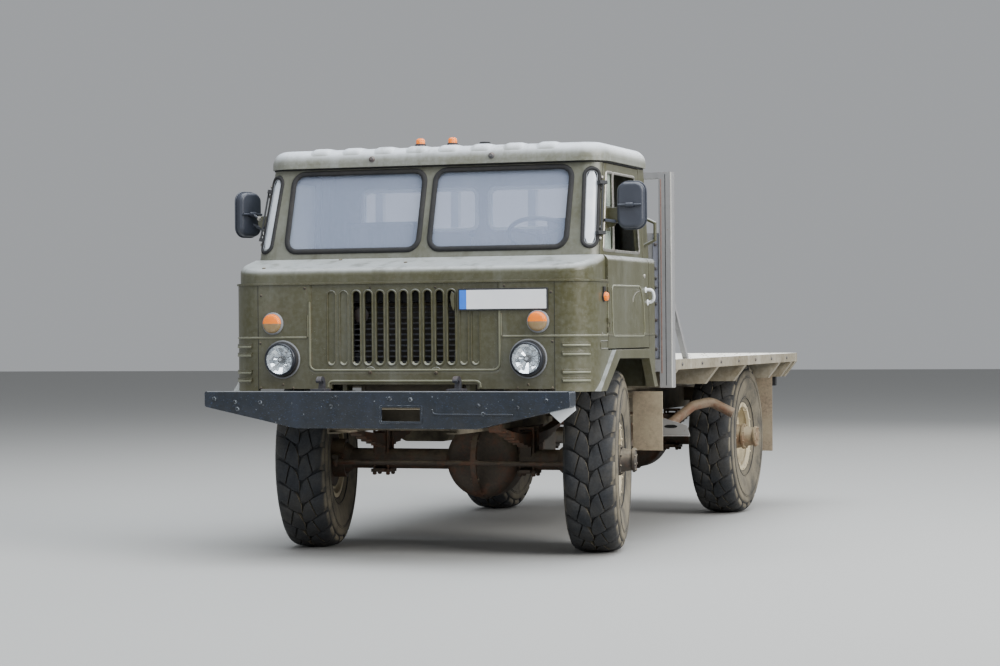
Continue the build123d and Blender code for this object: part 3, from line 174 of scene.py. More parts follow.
def paint(name, tone, faded_and_lit, rough=0.5, fade_and_light_up=0.6, dust_top=0.0, dust_foot=0.0, chips=0.3, specks=0.5,
          bare=RUST, mottle=0.14, wear=0.0):
    """Old matt paint: paler where it faces up, partly from sun fading and partly as painted sky light;
    streaked, chipped at its edges and dusty near the ground.
    """
    tone, faded_and_lit, bare = srgb(tone), srgb(faded_and_lit), srgb(bare)
    edge_radius = 0.003
    g = Graph(name)
    broad = g.patches(1.7, 5.0, 0.6, 0.3, 0.7)
    fine = g.noise(38.0, 4.0, 0.6)
    streak = g.noise(9.0, 4.0, 0.6, g.stretched(1.0, 1.0, 0.09))
    # Faces that turn up go toward the second tone: partly sun fading, partly painted light from the sky
    upward = g.ramp(g.axis("Z", "Normal"), 0.05, 0.95)
    fade = g.plus(g.times(upward, fade_and_light_up), g.times(broad, mottle))
    fade = g.plus(fade, g.times(g.ramp(streak, 0.52, 0.75), mottle), True)
    colour = g.mix(fade, tone, faded_and_lit)
    colour = g.mix(g.times(g.ramp(streak, 0.5, 0.3), 0.45), colour, lighter(tone, 0.72))
    colour = g.mix(g.times(g.ramp(fine, 0.35, 0.7), mottle * 0.8), colour, faded_and_lit)
    scratch = g.noise(1.0, 6.0, 0.75, g.stretched(70.0, 70.0, 240.0, 3.0))
    scratch = g.times(g.ramp(scratch, 0.66 - wear, 0.74 - wear), specks)
    colour = g.mix(scratch, colour, lighter(faded_and_lit, 2.3))
    spots = g.noise(55.0, 3.0, 0.5, g.stretched(1.0, 1.0, 1.0, 7.0))
    rim = g.times(g.edges(edge_radius), g.patches(30.0, 4.0, 0.7, 0.45, 0.62))
    worn = g.plus(g.times(g.ramp(spots, 0.70, 0.75), chips), g.times(rim, min(1.0, chips * 1.6)), True)
    colour = g.mix(worn, colour, bare)
    dusty = g.times(g.times(g.patches(4.0, 5.0, 0.65, 0.2, 0.75), upward), dust_top)
    low = g.times(g.ramp(g.axis("Z"), 1.25, 0.55), dust_foot)
    dusty = g.plus(dusty, g.times(low, g.patches(7.0, 5.0, 0.7, 0.15, 0.7)), True)
    g.set(Base_Color=g.mix(dusty, colour, DUST))
    roughness = g.plus(rough, g.times(g.ramp(fine, 0.3, 0.7), 0.12))
    g.set(Roughness=g.plus(roughness, g.times(dusty, 0.4), True))
    g.bump(g.plus(g.times(g.noise(2.6, 3.0, 0.5), 1.6), g.times(fine, 0.05)), 0.5, 0.004, edge_radius)
    return g.material


def metal(name, tone, rust=0.3, dust=0.3, metallic=0.6, rough=0.55, grain=60.0):
    """Bare or oily metal with rust blotches, grime and dust."""
    tone = srgb(tone)
    g = Graph(name)
    blotch = g.patches(9.0, 6.0, 0.7, 0.45, 0.65)
    fine = g.noise(grain, 4.0, 0.65)
    colour = g.mix(g.ramp(fine, 0.3, 0.7), tone, lighter(tone, 1.5))
    colour = g.mix(g.times(blotch, rust), colour, srgb(RUST))
    upward = g.ramp(g.axis("Z", "Normal"), -0.2, 0.9)
    dusty = g.times(g.times(upward, g.patches(5.0, 5.0, 0.7, 0.25, 0.7)), dust)
    g.set(Base_Color=g.mix(dusty, colour, DUST), Metallic=g.times(g.math("SUBTRACT", 1.0, dusty), metallic))
    g.set(Roughness=g.plus(rough, g.times(fine, 0.25), True))
    g.bump(g.plus(fine, g.times(blotch, 0.6)), 0.4, 0.0015, 0.003)
    return g.material


def polished(name, tone, rough, metallic=1.0):
    g = Graph(name)
    g.set(Base_Color=(*srgb(tone), 1.0), Metallic=metallic, Roughness=rough)
    return g.material


def rubber(name, tone, dust, scale=1.0, sides=0.0):
    """Worn rubber; sides is how far the walls that face sideways are covered in pale dust."""
    tone = srgb(tone)
    g = Graph(name)
    fine = g.noise(90.0 * scale, 4.0, 0.7)
    patch = g.patches(5.0 * scale, 6.0, 0.7, 0.3, 0.72)
    colour = g.mix(g.ramp(fine, 0.3, 0.7), tone, lighter(tone, 1.9, 0.01))
    cover = g.times(patch, dust)
    if sides:
        sideways = g.ramp(g.math("ABSOLUTE", g.axis("X", "Normal")), 0.72, 0.97)
        cover = g.plus(cover, g.times(g.times(sideways, sides), g.ramp(patch, -0.6, 1.0)), True)
    g.set(Base_Color=g.mix(cover, colour, DUST), Roughness=g.plus(0.72, g.times(fine, 0.2), True))
    g.bump(g.plus(fine, g.times(g.noise(30.0 * scale, 5.0, 0.7), 1.5)), 0.6, 0.0022)
    return g.material


def plastic(name, tone, rough=0.45, grain=180.0, bump=0.15):
    tone = srgb(tone)
    g = Graph(name)
    fine = g.noise(grain, 3.0, 0.6)
    patch = g.patches(8.0, 5.0, 0.6, 0.35, 0.75)
    g.set(Base_Color=g.mix(g.times(patch, 0.35), tone, lighter(tone, 1.6, 0.02)))
    g.set(Roughness=g.plus(rough, g.times(fine, 0.2), True))
    g.bump(fine, bump, 0.0006)
    return g.material


def lens(name, tone, dirt, glow=0.0):
    """A coloured lamp lens with flutes inside and dust on it."""
    tone = srgb(tone)
    g = Graph(name)
    colour = g.mix(g.times(g.patches(30.0, 5.0, 0.7, 0.3, 0.75), dirt), tone, DUST)
    g.set(Base_Color=colour, Roughness=0.25, Coat_Weight=0.3)
    # A glow, when given, is painted light: no bulb is lit inside
    if glow:
        g.set(Emission_Color=(*tone, 1.0), Emission_Strength=glow)
    flutes = g.node("ShaderNodeTexWave", {"bands_direction": "X"}, Vector=g.place, Scale=90.0)
    g.bump(flutes.outputs[1], 0.5, 0.002)
    return g.material


def glass(name, tone, alpha, rough=0.06, dirt=0.15):
    """Thin glazing: mostly clear, with a pale veil of dust and a sheen."""
    g = Graph(name)
    veil = g.patches(3.0, 6.0, 0.7, 0.3, 0.8)
    streak = g.noise(8.0, 4.0, 0.6, g.stretched(1.0, 1.0, 0.15))
    dirt_mask = g.times(g.plus(veil, g.ramp(streak, 0.5, 0.8)), dirt)
    g.set(Base_Color=g.mix(dirt_mask, srgb(tone), DUST), Roughness=rough, Specular_IOR_Level=0.6)
    g.set(Alpha=g.plus(alpha, g.times(dirt_mask, 0.5), True))
    g.material.surface_render_method = "BLENDED"
    return g.material


# Each paint's second tone is what its upward faces turn to: sun-bleached paint and painted sky light; the
# roof's and the bed's are pale almost to white
LOOKS = {
    "body": paint(
        "body_paint", (69, 67, 38), (158, 162, 162), 0.3, 0.85, 0.0, 0.22, 0.2, mottle=0.09, wear=0.02,
    ),
    "roof": paint("roof_paint", (108, 108, 92), (202, 208, 216), 0.34, 0.95, 0.1),
    "bumper": paint(
        "bumper_paint", (4, 16, 26), (26, 40, 60), 0.3, 0.4, 0.0, 0.05, 0.6, 1.0, (150, 158, 166), 0.3, 0.09,
    ),
    "chassis": paint("chassis_paint", (52, 48, 42), (86, 78, 66), 0.7, dust_top=0.6, dust_foot=0.5),
    "bed": paint("bed_paint", (118, 108, 86), (246, 244, 234), 0.6, 0.92, 0.1, 0.45, 0.5),
    "board": paint("board_paint", (130, 130, 131), (164, 164, 164), 0.6, 0.3, dust_foot=0.2, chips=0.6),
    "rim": paint("rim_paint", (204, 190, 156), (222, 214, 192), 0.6, dust_foot=0.4, chips=0.5),
    # Paler than the body paint: a painted highlight along pressed beads and louvres
    "edge": paint("pressed_edges", (104, 104, 80), (160, 162, 150), 0.35),
    # Paler body paint for the arcs under the grille slots: painted highlights
    "worn": paint("worn_edges", (136, 136, 116), (166, 166, 150), chips=0.5),
    "zinc": paint("strip_paint", (132, 134, 146), (150, 152, 162), 0.55, chips=0.5),
    "axle": metal("axle_iron", (62, 54, 46), 0.45, 0.55, 0.25),
    "spring": metal("spring_steel", (74, 62, 52), 0.6, 0.5, 0.35),
    "engine": metal("engine_iron", (70, 68, 64), 0.35, 0.5, 0.4),
    "steel": metal("bare_steel", (150, 148, 142), 0.15, 0.15, 0.9, 0.35),
    "exhaust": metal("exhaust_steel", (112, 96, 80), 0.6, 0.5, 0.3),
    "rust_line": metal("rust_line", (122, 98, 90), 0.22, 0.2, 0.0),
    "hub": metal("hub_iron", (58, 54, 50), 0.25, 0.75, 0.3, grain=40.0),
    "hub_pale": metal("hub_dusty", (120, 106, 84), 0.4, 0.8, 0.15, grain=40.0),
    "steel_dark": metal("dull_bolts", (84, 84, 86), 0.3, 0.3, 0.7, 0.5),
    "slat": metal("slat_iron", (84, 86, 92), 0.03, 0.15, 0.4, 0.45),
    "soot": metal("shutter_iron", (34, 34, 36), 0.05, 0.15, 0.3, 0.5),
    "hook": metal("hook_iron", (52, 54, 60), 0.15, 0.12, 0.5),
    "tyre": rubber("tyre_rubber", (20, 23, 28), 0.07, 1.0, 0.42),
    "flap": rubber("flap_rubber", (112, 98, 82), 0.75, 0.6),
    "seal": rubber("seal_rubber", (10, 11, 15), 0.03),
    "black": plastic("black_plastic", (34, 35, 38)),
    "grey": plastic("grey_plastic", (120, 122, 126)),
    "vinyl": plastic("seat_vinyl", (58, 56, 52), 0.5, 90.0, 0.4),
    "white": plastic("plate_white", (234, 236, 240), 0.35),
    "blue": plastic("plate_blue", (40, 116, 232), 0.35),
    "frost": plastic("corner_pane", (206, 212, 220), 0.15, 20.0, 0.05),
    "chalk_dull": plastic("pale_edge", (196, 194, 188), 0.5),
    "chalk": plastic("pale_rubber", (232, 236, 240), 0.5),
    "shell": plastic("mirror_shell", (50, 54, 64), 0.3, 60.0, 0.05),
    "amber": lens("amber_lens", (244, 122, 0), 0.02, 0.26),
    "murk": lens("clear_lens", (150, 124, 84), 0.35),
    "red": lens("red_lens", (150, 22, 18), 0.2),
    "mirror": polished("mirror_face", (225, 230, 235), 0.02),
    # Flat black for slots, gaps and holes: painted shade
    "dark": polished("dark_gap", (6, 6, 7), 0.95, 0.0),
    "chrome": polished("reflector", (232, 240, 246), 0.12, 0.75),
    "ring": polished("lamp_ring", (40, 43, 50), 0.35, 0.3),
    "lens": glass("lamp_glass", (225, 232, 238), 0.06, 0.05, 0.06),
    "glass": glass("window_glass", (206, 220, 250), 0.19, 0.05, 0.05),
    "vent": glass("vent_glass", (190, 206, 196), 0.55, 0.2, 0.5),
}

# The look of each node that keeps its own shape; the others are body paint
NODE_LOOKS = {
    "bumper": "bumper", "hook": "tow_hooks", "spring": "leaf_springs", "exhaust": "exhaust",
    "flap": "mudflaps", "chassis": "tow_hitch frame_rails frame_crossmembers radiator fuel_tank",
    "engine": "engine transmission", "axle": "front_axle rear_axle knuckle_left knuckle_right tie_rod",
    "red": "tail_lamps", "roof": "cab_roof",
    "bed": "bed_sills bed_bearers bed_edge bed_planks", "board": "headboard headboard_panel",
    "vinyl": "engine_cover seats", "glass": "cab_glass", "vent": "door_glass_left door_glass_right",
    "black": "dashboard steering_wheel headlamps", "amber": "marker_lamps",
    "shell": "mirror_left mirror_right",
    "rim": " ".join(f"wheel_{word}" for word in WHEELS), "tyre": " ".join(f"tyre_{word}" for word in WHEELS),
}
look_of = {node: look for look, names in NODE_LOOKS.items() for node in names.split()}
for name, node in frame["nodes"].items():
    node.data.materials.clear()
    node.data.materials.append(LOOKS[look_of.get(name, "body")])


def spaced(low, high, count):
    return [low + (high - low) * i / (count - 1) for i in range(count)]


def turns(count):
    """Angles that go once round."""
    return [2 * pi * k / count for k in range(count)]


def clamp(value):
    return max(0.0, min(1.0, value))


def circle(centre, u, v, radius, count):
    """Points round a centre, in the plane of two directions."""
    return [centre + radius * (cos(a) * u + sin(a) * v) for a in turns(count)]


def runs(path, closed):
    """A path's direction at each of its points."""
    n = len(path)
    out = []
    for i, p in enumerate(path):
        before = path[(i - 1) % n] if closed or i else p
        after = path[(i + 1) % n] if closed or i < n - 1 else p
        out.append((after - before).normalized())
    return out


class Gathered:
    """A joined mesh, gathered bit by bit in metres where it lies at rest. They are all made at the end."""
    pieces = []

    def __init__(self, name, look, body, slot=None, bevel=0.0, sharp=35, replaces=()):
        self.terms = name, look, body, slot, bevel, sharp, replaces
        self.points = []
        self.faces = []
        Gathered.pieces.append(self)

    def add(self, points, faces):
        """Adds a closed body by its points and its faces."""
        base = len(self.points)
        self.points += [tuple(p) for p in points]
        self.faces += [tuple(base + i for i in face) for face in faces]

    def box(self, corner, other):
        """A level box between two opposite corners, in any order."""
        (a, d), (b, e), (c, f) = [sorted(pair) for pair in zip(corner, other)]
        self.hexa([(x, y, z) for z in (c, f) for x, y in ((a, b), (d, b), (d, e), (a, e))])

    def twins(self, xs, ys, zs):
        """A box and its mirror image across the truck."""
        for side in (1, -1):
            self.box((side * xs[0], ys[0], zs[0]), (side * xs[1], ys[1], zs[1]))

    def hexa(self, eight):
        """A block by its eight corners, four below and four above, each four in a ring."""
        self.add(eight, BLOCK_FACES)

    def slab(self, centre, size, along, facing):
        """A box turned so that its length runs along one direction and its depth faces another."""
        x = Vector(along).normalized()
        z = (Vector(facing) - Vector(facing).dot(x) * x).normalized()
        wide, deep, tall = (s / 2 * way for s, way in zip(size, (x, z.cross(x), z)))
        corners = ((-1, -1), (1, -1), (1, 1), (-1, 1))
        self.hexa([Vector(centre) + i * wide + j * deep + k * tall for k in (-1, 1) for i, j in corners])

    def prism(self, outline, shift):
        """A flat outline of points pushed along a vector."""
        n = len(outline)
        faces = [tuple(reversed(range(n))), tuple(range(n, 2 * n))]
        faces += [(i, (i + 1) % n, n + (i + 1) % n, n + i) for i in range(n)]
        self.add([Vector(p) + k * Vector(shift) for k in (0, 1) for p in outline], faces)

    def rings(self, rings, closed=False, capped=True):
        """Rings of points, each with as many points, joined one to the next."""
        n = len(rings[0])
        faces = []
        for k in range(len(rings) - (0 if closed else 1)):
            a = k * n
            b = (k + 1) % len(rings) * n
            faces += [(a + i, a + (i + 1) % n, b + (i + 1) % n, b + i) for i in range(n)]
        if capped and not closed:
            faces += [tuple(reversed(range(n))), tuple(range((len(rings) - 1) * n, len(rings) * n))]
        self.add([p for ring in rings for p in ring], faces)

    def tube(self, route, radius, sides=10, closed=False):
        route = [Vector(p) for p in route]
        rings = []
        guide = None
        for p, run in zip(route, runs(route, closed)):
            if guide is None:
                guide = run.orthogonal().normalized()
            guide = (guide - guide.dot(run) * run).normalized()
            rings.append(circle(p, guide, run.cross(guide), radius, sides))
        self.rings(rings, closed)

    def mould(self, path, facing, section, closed=True):
        """A section of (outward, proud) pairs run along a path; facing is the normal there, or gives it."""
        path = [Vector(p) for p in path]
        rings = []
        for p, run in zip(path, runs(path, closed)):
            normal = Vector(facing(p) if callable(facing) else facing).normalized()
            out = run.cross(normal).normalized()
            rings.append([p + a * out + b * normal for a, b in section])
        self.rings(rings, closed)

    def lathe(self, centre, axis, profile, sides=24, hollow=False):
        """A profile of (along, radius) pairs turned about an axis; a hollow one is closed on itself."""
        axis = Vector(axis).normalized()
        u = axis.orthogonal().normalized()
        v = axis.cross(u)
        profile = [(Vector(centre) + along * axis, max(radius, 0.0002)) for along, radius in profile]
        self.rings([circle(middle, u, v, radius, sides) for middle, radius in profile], closed=hollow)

    def bar(self, start, end, radius, sides=14):
        run = Vector(end) - Vector(start)
        self.lathe(start, run, [(0, radius), (run.length, radius)], sides)

    def bolt(self, at, axis, radius=0.012, height=0.01, washer=True):
        """A hexagon head on a washer."""
        if washer:
            self.lathe(at, axis, [(0, radius * 1.35), (0.002, radius * 1.35)], 16)
        self.lathe(at, axis, [(0, radius), (height * 0.8, radius), (height, radius * 0.85)], 6)

    def screw(self, at, axis, radius=0.008, height=0.004):
        self.lathe(at, axis, [(0, radius), (height * 0.5, radius * 0.9), (height, radius * 0.45)], 12)

    def make(self):
        name, look, body, slot, bevel, sharp, replaces = self.terms
        mesh = bpy.data.meshes.new(name)
        mesh.from_pydata(self.points, [], self.faces)
        work = bmesh.new()
        work.from_mesh(mesh)
        bmesh.ops.recalc_face_normals(work, faces=work.faces)
        work.to_mesh(mesh)
        work.free()
        mesh.shade_smooth()
        mesh.set_sharp_from_angle(angle=radians(sharp))
        mesh.materials.append(LOOKS[look])
        obj = bpy.data.objects.new(name, mesh)
        scene.collection.objects.link(obj)
        if bevel:
            soft = obj.modifiers.new("soft", "BEVEL")
            soft.width = bevel
            soft.segments = 2
            soft.limit_method = "ANGLE"
            soft.harden_normals = True
        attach(obj, body)
        if replaces:
            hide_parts(*replaces)


def smooth(points, steps=6):
    """A Catmull-Rom curve through points."""
    points = [Vector(p) for p in points]
    out = []
    for i in range(len(points) - 1):
        a, b, c, d = (points[max(0, min(k, len(points) - 1))] for k in (i - 1, i, i + 1, i + 2))
        for t in (k / steps for k in range(steps)):
            curve = 2 * b + (c - a) * t + (2 * a - 5 * b + 4 * c - d) * t * t
            out.append(0.5 * (curve + (3 * b - a - 3 * c + d) * t ** 3))
    return out + [points[-1]]


def rounded(width, height, radius, steps=6, middle=(0.0, 0.0)):
    """A rounded rectangle of (across, along) pairs about its middle, counter-clockwise."""
    out = []
    for i, (sx, sy) in enumerate(((1, 1), (-1, 1), (-1, -1), (1, -1))):
        cx = middle[0] + sx * (width / 2 - radius)
        cy = middle[1] + sy * (height / 2 - radius)
        for k in range(steps + 1):
            angle = (i + k / steps) * pi / 2
            out.append((cx + radius * cos(angle), cy + radius * sin(angle)))
    return out


def softened(points, radius, steps=5):
    """A closed outline of pairs with every corner rounded."""
    points = [Vector(p) for p in points]
    out = []
    for i, p in enumerate(points):
        a = p + (points[i - 1] - p).normalized() * radius
        b = p + (points[(i + 1) % len(points)] - p).normalized() * radius
        for t in (k / steps for k in range(steps + 1)):
            out.append((1 - t) * (1 - t) * a + 2 * t * (1 - t) * p + t * t * b)
    return out


def oval(wide, high, count=8, sunk=0.3):
    """A half-sunk oval bead section."""
    return [(wide / 2 * cos(a), high * (sin(a) * 0.5 + 0.5 - sunk)) for a in turns(count)]


def upright(pairs, y):
    return [Vector((x, y, z)) for x, z in pairs]


def mirrored(half, middle=()):
    """A line that goes on as its own mirror image across the truck, by way of the middle."""
    return list(half) + list(middle) + [(-x, *rest) for x, *rest in reversed(half)]


# Tyres: a smooth carcass with two staggered rows of curved lugs, each cut into blocks
TYRE_R = 0.545
TYRE_STEPS = 96
LUGS = 23
LUG_PITCH = 2 * pi * TYRE_R / LUGS
LUG_DEPTH = 0.019
LUG_TIP = -0.008
LUG_BLOCKS = ((LUG_TIP, 0.066, 10), (0.073, 0.19, 11))
CARCASS = (
    (0, 0.545), (0.06, 0.5435), (0.105, 0.538), (0.133, 0.525), (0.149, 0.503), (0.1585, 0.47),
    (0.16, 0.43), (0.158, 0.38), (0.151, 0.33), (0.139, 0.29), (0.125, 0.262), (0.121, 0.246),
)
CARCASS_INSIDE = [(0.1, 0.235), (0.118, 0.3), (0.118, 0.46), (0, 0.505)]


class Profile:
    """The tyre's outer line from the middle of the tread down to the bead, by its length."""
    def __init__(self, points):
        self.points = smooth([(x, r, 0) for x, r in points], 8)
        self.lengths = [0.0]
        for a, b in zip(self.points, self.points[1:]):
            self.lengths.append(self.lengths[-1] + (b - a).length)

    def at(self, u, lift):
        """The point at a length u from the middle, lifted off the line."""
        u = min(u, self.lengths[-1] - 1e-6)
        i = max(k for k, length in enumerate(self.lengths[:-1]) if length <= u)
        run = self.points[i + 1] - self.points[i]
        p = self.points[i] + run * ((u - self.lengths[i]) / (self.lengths[i + 1] - self.lengths[i]))
        out = Vector((run.y, -run.x, 0)).normalized()
        if out.y < -0.2 or (abs(out.y) <= 0.2 and out.x < 0):
            out = -out
        return p.x + out.x * lift, p.y + out.y * lift


class Wheel:
    """A wheel's middle, its axle (outward), its forward direction and the body that it turns with."""
    def __init__(self, word):
        low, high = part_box(f"tyre_{word}")
        end, side = word.split("_")
        turn = STEER_REST if end == "front" else 0.0
        self.centre = (low + high) / 2
        self.axle = Vector((cos(turn), sin(turn), 0)) * (1 if side == "left" else -1)
        self.ahead = Vector((sin(turn), -cos(turn), 0))
        self.body = f"{end}_wheel_{side}"

    def at(self, along, radius, angle):
        """A point by its place along the axle, its radius and its angle, which starts ahead and goes up."""
        round_it = self.ahead * (radius * cos(angle)) + UP * (radius * sin(angle))
        return self.centre + self.axle * along + round_it


def lug_half(u):
    """Half the lug's size round the tyre at a length u out from the tread's middle."""
    full = 0.392 * LUG_PITCH
    rounding = 0.046
    if u < LUG_TIP + rounding:
        full *= sqrt(max(0.0, 1 - ((LUG_TIP + rounding - u) / rounding) ** 2))
    return full * (1 - 0.25 * clamp((u - 0.15) / 0.04))


def lug_block(first, last, count):
    """A block of a lug, as rings of (along the axle, radius, way round the tyre)."""
    rings = []
    for u in spaced(first, last, count):
        at_end = u in (first, last)
        cut = 0.0015 if u == last or at_end and first > 0 else 0.0
        band = max(lug_half(u) - cut, 0.001)
        top = -LUG_DEPTH * 0.75 * clamp((u - 0.165) / 0.025) - (0.001 if at_end else 0.0)
        half = [(-band - 0.003, -LUG_DEPTH - 0.002), (-band, top - 0.0025), (-band + 0.003, top)]
        middle_line = 1.25 * u - 3.4 * u * abs(u)
        ring = []
        for across, lift in mirrored(half, [(0.0, top)]):
            slant = 0.5 * across * clamp(u / 0.06) * max(0.0, 1 - u / 0.15)
            ring.append((*tread.at(max(u - slant, 0.0), lift), middle_line + across))
        rings.append(ring)
    return rings


tread = Profile(CARCASS)
bead = tread.lengths[-1]
section = [
    tread.at(u, -LUG_DEPTH * clamp((0.195 - u) / 0.03))
    for u in spaced(0.0, 0.135, 9) + [0.15, 0.165, 0.18, 0.195, 0.21]
]
section += [tread.at(u, 0.0) for u in spaced(0.225, bead, 14)] + CARCASS_INSIDE
section += [(-x, r) for x, r in reversed(section[1:-1])]
ribs_at = ((0.236, 0.004), (0.246, 0.004), (bead - 0.04, 0.005))
wall_ribs = [(*tread.at(u, -0.001), radius) for u, radius in ribs_at]
blocks = [lug_block(*terms) for terms in LUG_BLOCKS]
for word in WHEELS:
    wheel = Wheel(word)
    tyre = Gathered(f"tread_{word}", "tyre", wheel.body, "tyre", sharp=50, replaces=[f"tyre_{word}"])
    tyre.rings([[wheel.at(x, r, a) for x, r in section] for a in turns(TYRE_STEPS)], closed=True)
    for side, shift in ((1, 0.0), (-1, LUG_PITCH / 2)):
        for x, r, radius in wall_ribs:
            tyre.tube([wheel.at(side * x, r, a) for a in turns(TYRE_STEPS)], radius, 6, closed=True)
        for start in [n * LUG_PITCH + shift for n in range(LUGS)]:
            for block in blocks:
                tyre.rings([
                    [wheel.at(side * x, r, (start + way) / TYRE_R) for x, r, way in ring] for ring in block
                ])

# The cab's surfaces
FRONT_Y = AXLE_F - 0.854
RECESS_Y = FRONT_Y + 0.007
RECESS_HALF = 0.604
RECESS_FOOT = 1.075
RECESS_SLOPE = 0.03
RECESS_R = 0.05
SLOT_PITCH = 0.0734
SLOT_W = 0.048
SLOT_Z = (1.131, 1.56)
SMILE_R = 0.021
GRILLE_XS = [(n - 4) * SLOT_PITCH for n in range(9)]
BLIND_XS = [-0.451, -0.374, 0.369, 0.44]
SCREEN_LEAN = (GLASS_HEAD - GLASS_FOOT) / (EAVES_Z - WAIST_Z)
BELT_Z = 1.292
PLUGS_AT = ((-0.207, 1.089), (0.2, 1.085))


def screen_point(x, z, lift=0.0):
    """A point on the leaning front of the cab's upper half, lifted off it."""
    point = Vector((x, GLASS_FOOT + (z - WAIST_Z) * SCREEN_LEAN, z))
    return point + lift * Vector((0, -1, SCREEN_LEAN)).normalized()


def front(x, z, lift=0.0):
    return Vector((x, FRONT_Y - lift, z))


def corner_point(turn, z, lift=0.0, side=1):
    """A point round the lower body's front corner: turn is 0 at the front and 90 at the side."""
    a = radians(turn)
    r = CORNER_R + lift
    return Vector((side * (CAB_HALF - CORNER_R + r * sin(a)), FRONT_Y + CORNER_R - r * cos(a), z))


def side_point(side, y, z, lift=0.0):
    return Vector((side * (CAB_HALF + lift), AXLE_F + y, z))


def house_side(side, y, z):
    """A point on the leaning upper half of the cab's side."""
    x = WAIST_HALF + (EAVES_HALF - WAIST_HALF) * (z - WAIST_Z) / (EAVES_Z - WAIST_Z)
    return Vector((side * x, AXLE_F + y, z))


def body_normal(p):
    """Which way the lower body faces at a point of its front, its corner or its side."""
    x = abs(p.x) - (CAB_HALF - CORNER_R)
    y = p.y - (FRONT_Y + CORNER_R)
    side = 1 if p.x > 0 else -1
    if x <= 0:
        return AHEAD
    return (side, 0, 0) if y >= 0 else (side * x, y, 0)


# Front panel: rolled lips round the slots, painted shade inside them and painted highlights below them, the
# recess's sloping edge, beads, seams painted dark as their shade, and screws
lips = Gathered("grille_lips", "body", "cab", "body_paint", sharp=60)
# Pale arcs at the bottom of each slot: painted highlights
smiles = Gathered("slot_smiles", "worn", "cab", "body_paint", sharp=60)
shades = Gathered("slot_shades", "dark", "cab", sharp=30)
for xs, wider, lip in ((GRILLE_XS, 0.006, oval(0.011, 0.009)), (BLIND_XS, 0.004, oval(0.008, 0.005))):
    for x in xs:
        wide = SLOT_W + wider
        loop = rounded(wide, SLOT_Z[1] - SLOT_Z[0] + wider, wide / 2, 6, (x, sum(SLOT_Z) / 2))
        lips.mould(upright(loop, RECESS_Y), AHEAD, lip)
        low = Vector((x, RECESS_Y + 0.004, SLOT_Z[0] + SLOT_W / 2))
        arc = spaced(radians(195), radians(345), 9)
        smiles.tube([low + SMILE_R * Vector((cos(a), 0, sin(a))) for a in arc], 0.005, 8)
# Black plates behind the top of each open slot: painted shade inside the grille
for x in GRILLE_XS:
    shades.box((x - 0.0235, RECESS_Y + 0.018, 1.5), (x + 0.0235, RECESS_Y + 0.02, 1.558))

panel = Gathered("front_pressings", "body", "cab", "body_paint", sharp=40)
half = [(-RECESS_HALF, SHOULDER_Z), (-RECESS_HALF, RECESS_FOOT + RECESS_R)]
half += [
    (-RECESS_HALF + RECESS_R * (1 - cos(a)), RECESS_FOOT + RECESS_R * (1 - sin(a)))
    for a in spaced(0.2, pi / 2 - 0.2, 5)
]
half += [(-RECESS_HALF + RECESS_R, RECESS_FOOT)]
rings = []
for x, z in mirrored(half):
    reach = RECESS_HALF - RECESS_SLOPE
    inner_x, inner_z = max(-reach, min(reach, x * 0.955)), max(RECESS_FOOT + RECESS_SLOPE, z)
    mid_x, mid_z = x + (inner_x - x) * 0.55, z + (inner_z - z) * 0.55
    rings.append([
        (x, FRONT_Y + 0.0002, z), (mid_x, FRONT_Y + 0.0002, mid_z), (inner_x, RECESS_Y - 0.0006, inner_z),
        (x, RECESS_Y + 0.002, z),
    ])
panel.rings(rings)
for x, z in PLUGS_AT:
    panel.lathe((x, FRONT_Y + 0.004, z), AHEAD, [(0, 0.034), (0.003, 0.032), (0.005, 0.022), (0.005, 0)], 20)
flap = ((0.3, 1.552), (0.316, 1.535), (0.317, 1.458), (0.309, 1.44), (0.297, 1.468), (0.29, 1.522))
panel.prism(upright(flap, RECESS_Y - 0.004), (0, -0.007, 0))

# The beads are pressed in the panel; their paler paint is a painted highlight along them
beads = Gathered("front_beads", "edge", "cab", "body_paint", sharp=40)
half = [(-0.586, z) for z in spaced(1.5, 1.14, 8)]
half += [(-0.586 + 0.04 * (1 - cos(a)), 1.14 - 0.04 * sin(a)) for a in spaced(0.2, pi / 2, 6)]
line = mirrored(half, [(x, 1.1) for x in spaced(-0.5, 0.5, 12)])
beads.mould([front(x, z, -0.002) for x, z in line], AHEAD, oval(0.013, 0.01), False)
for side in (-1, 1):
    path = [front(side * x, BELT_Z) for x in spaced(0.606, 0.9, 8)]
    path += [corner_point(t, BELT_Z, 0.0, side) for t in range(5, 90, 8)]
    path += [side_point(side, y, BELT_Z) for y in spaced(-0.639, -0.512, 4)]
    path += [side_point(side, -0.5, 1.298), side_point(side, -0.493, 1.31)]
    path += [side_point(side, -0.49, z) for z in spaced(1.33, 1.588, 6)]
    beads.mould(path, body_normal, oval(0.012, 0.008), False)
    for z in (1.038, 1.085, 1.187, 1.238):
        louvre = [corner_point(t, z, 0.0055, side) for t in spaced(15, 59, 9)]
        beads.mould(louvre, body_normal, oval(0.013, 0.0045), False)
    beads.mould([front(side * 0.597, z) for z in spaced(1.296, 1.422, 6)], AHEAD, oval(0.008, 0.006), False)
half = [(-0.47, 1.0), (-0.468, 1.024), (-0.455, 1.034), (-0.44, 1.037)]
line = mirrored(half, [(x, 1.037) for x in spaced(-0.4, 0.4, 6)])
beads.mould(upright(line, FRONT_Y), AHEAD, oval(0.014, 0.01), False)

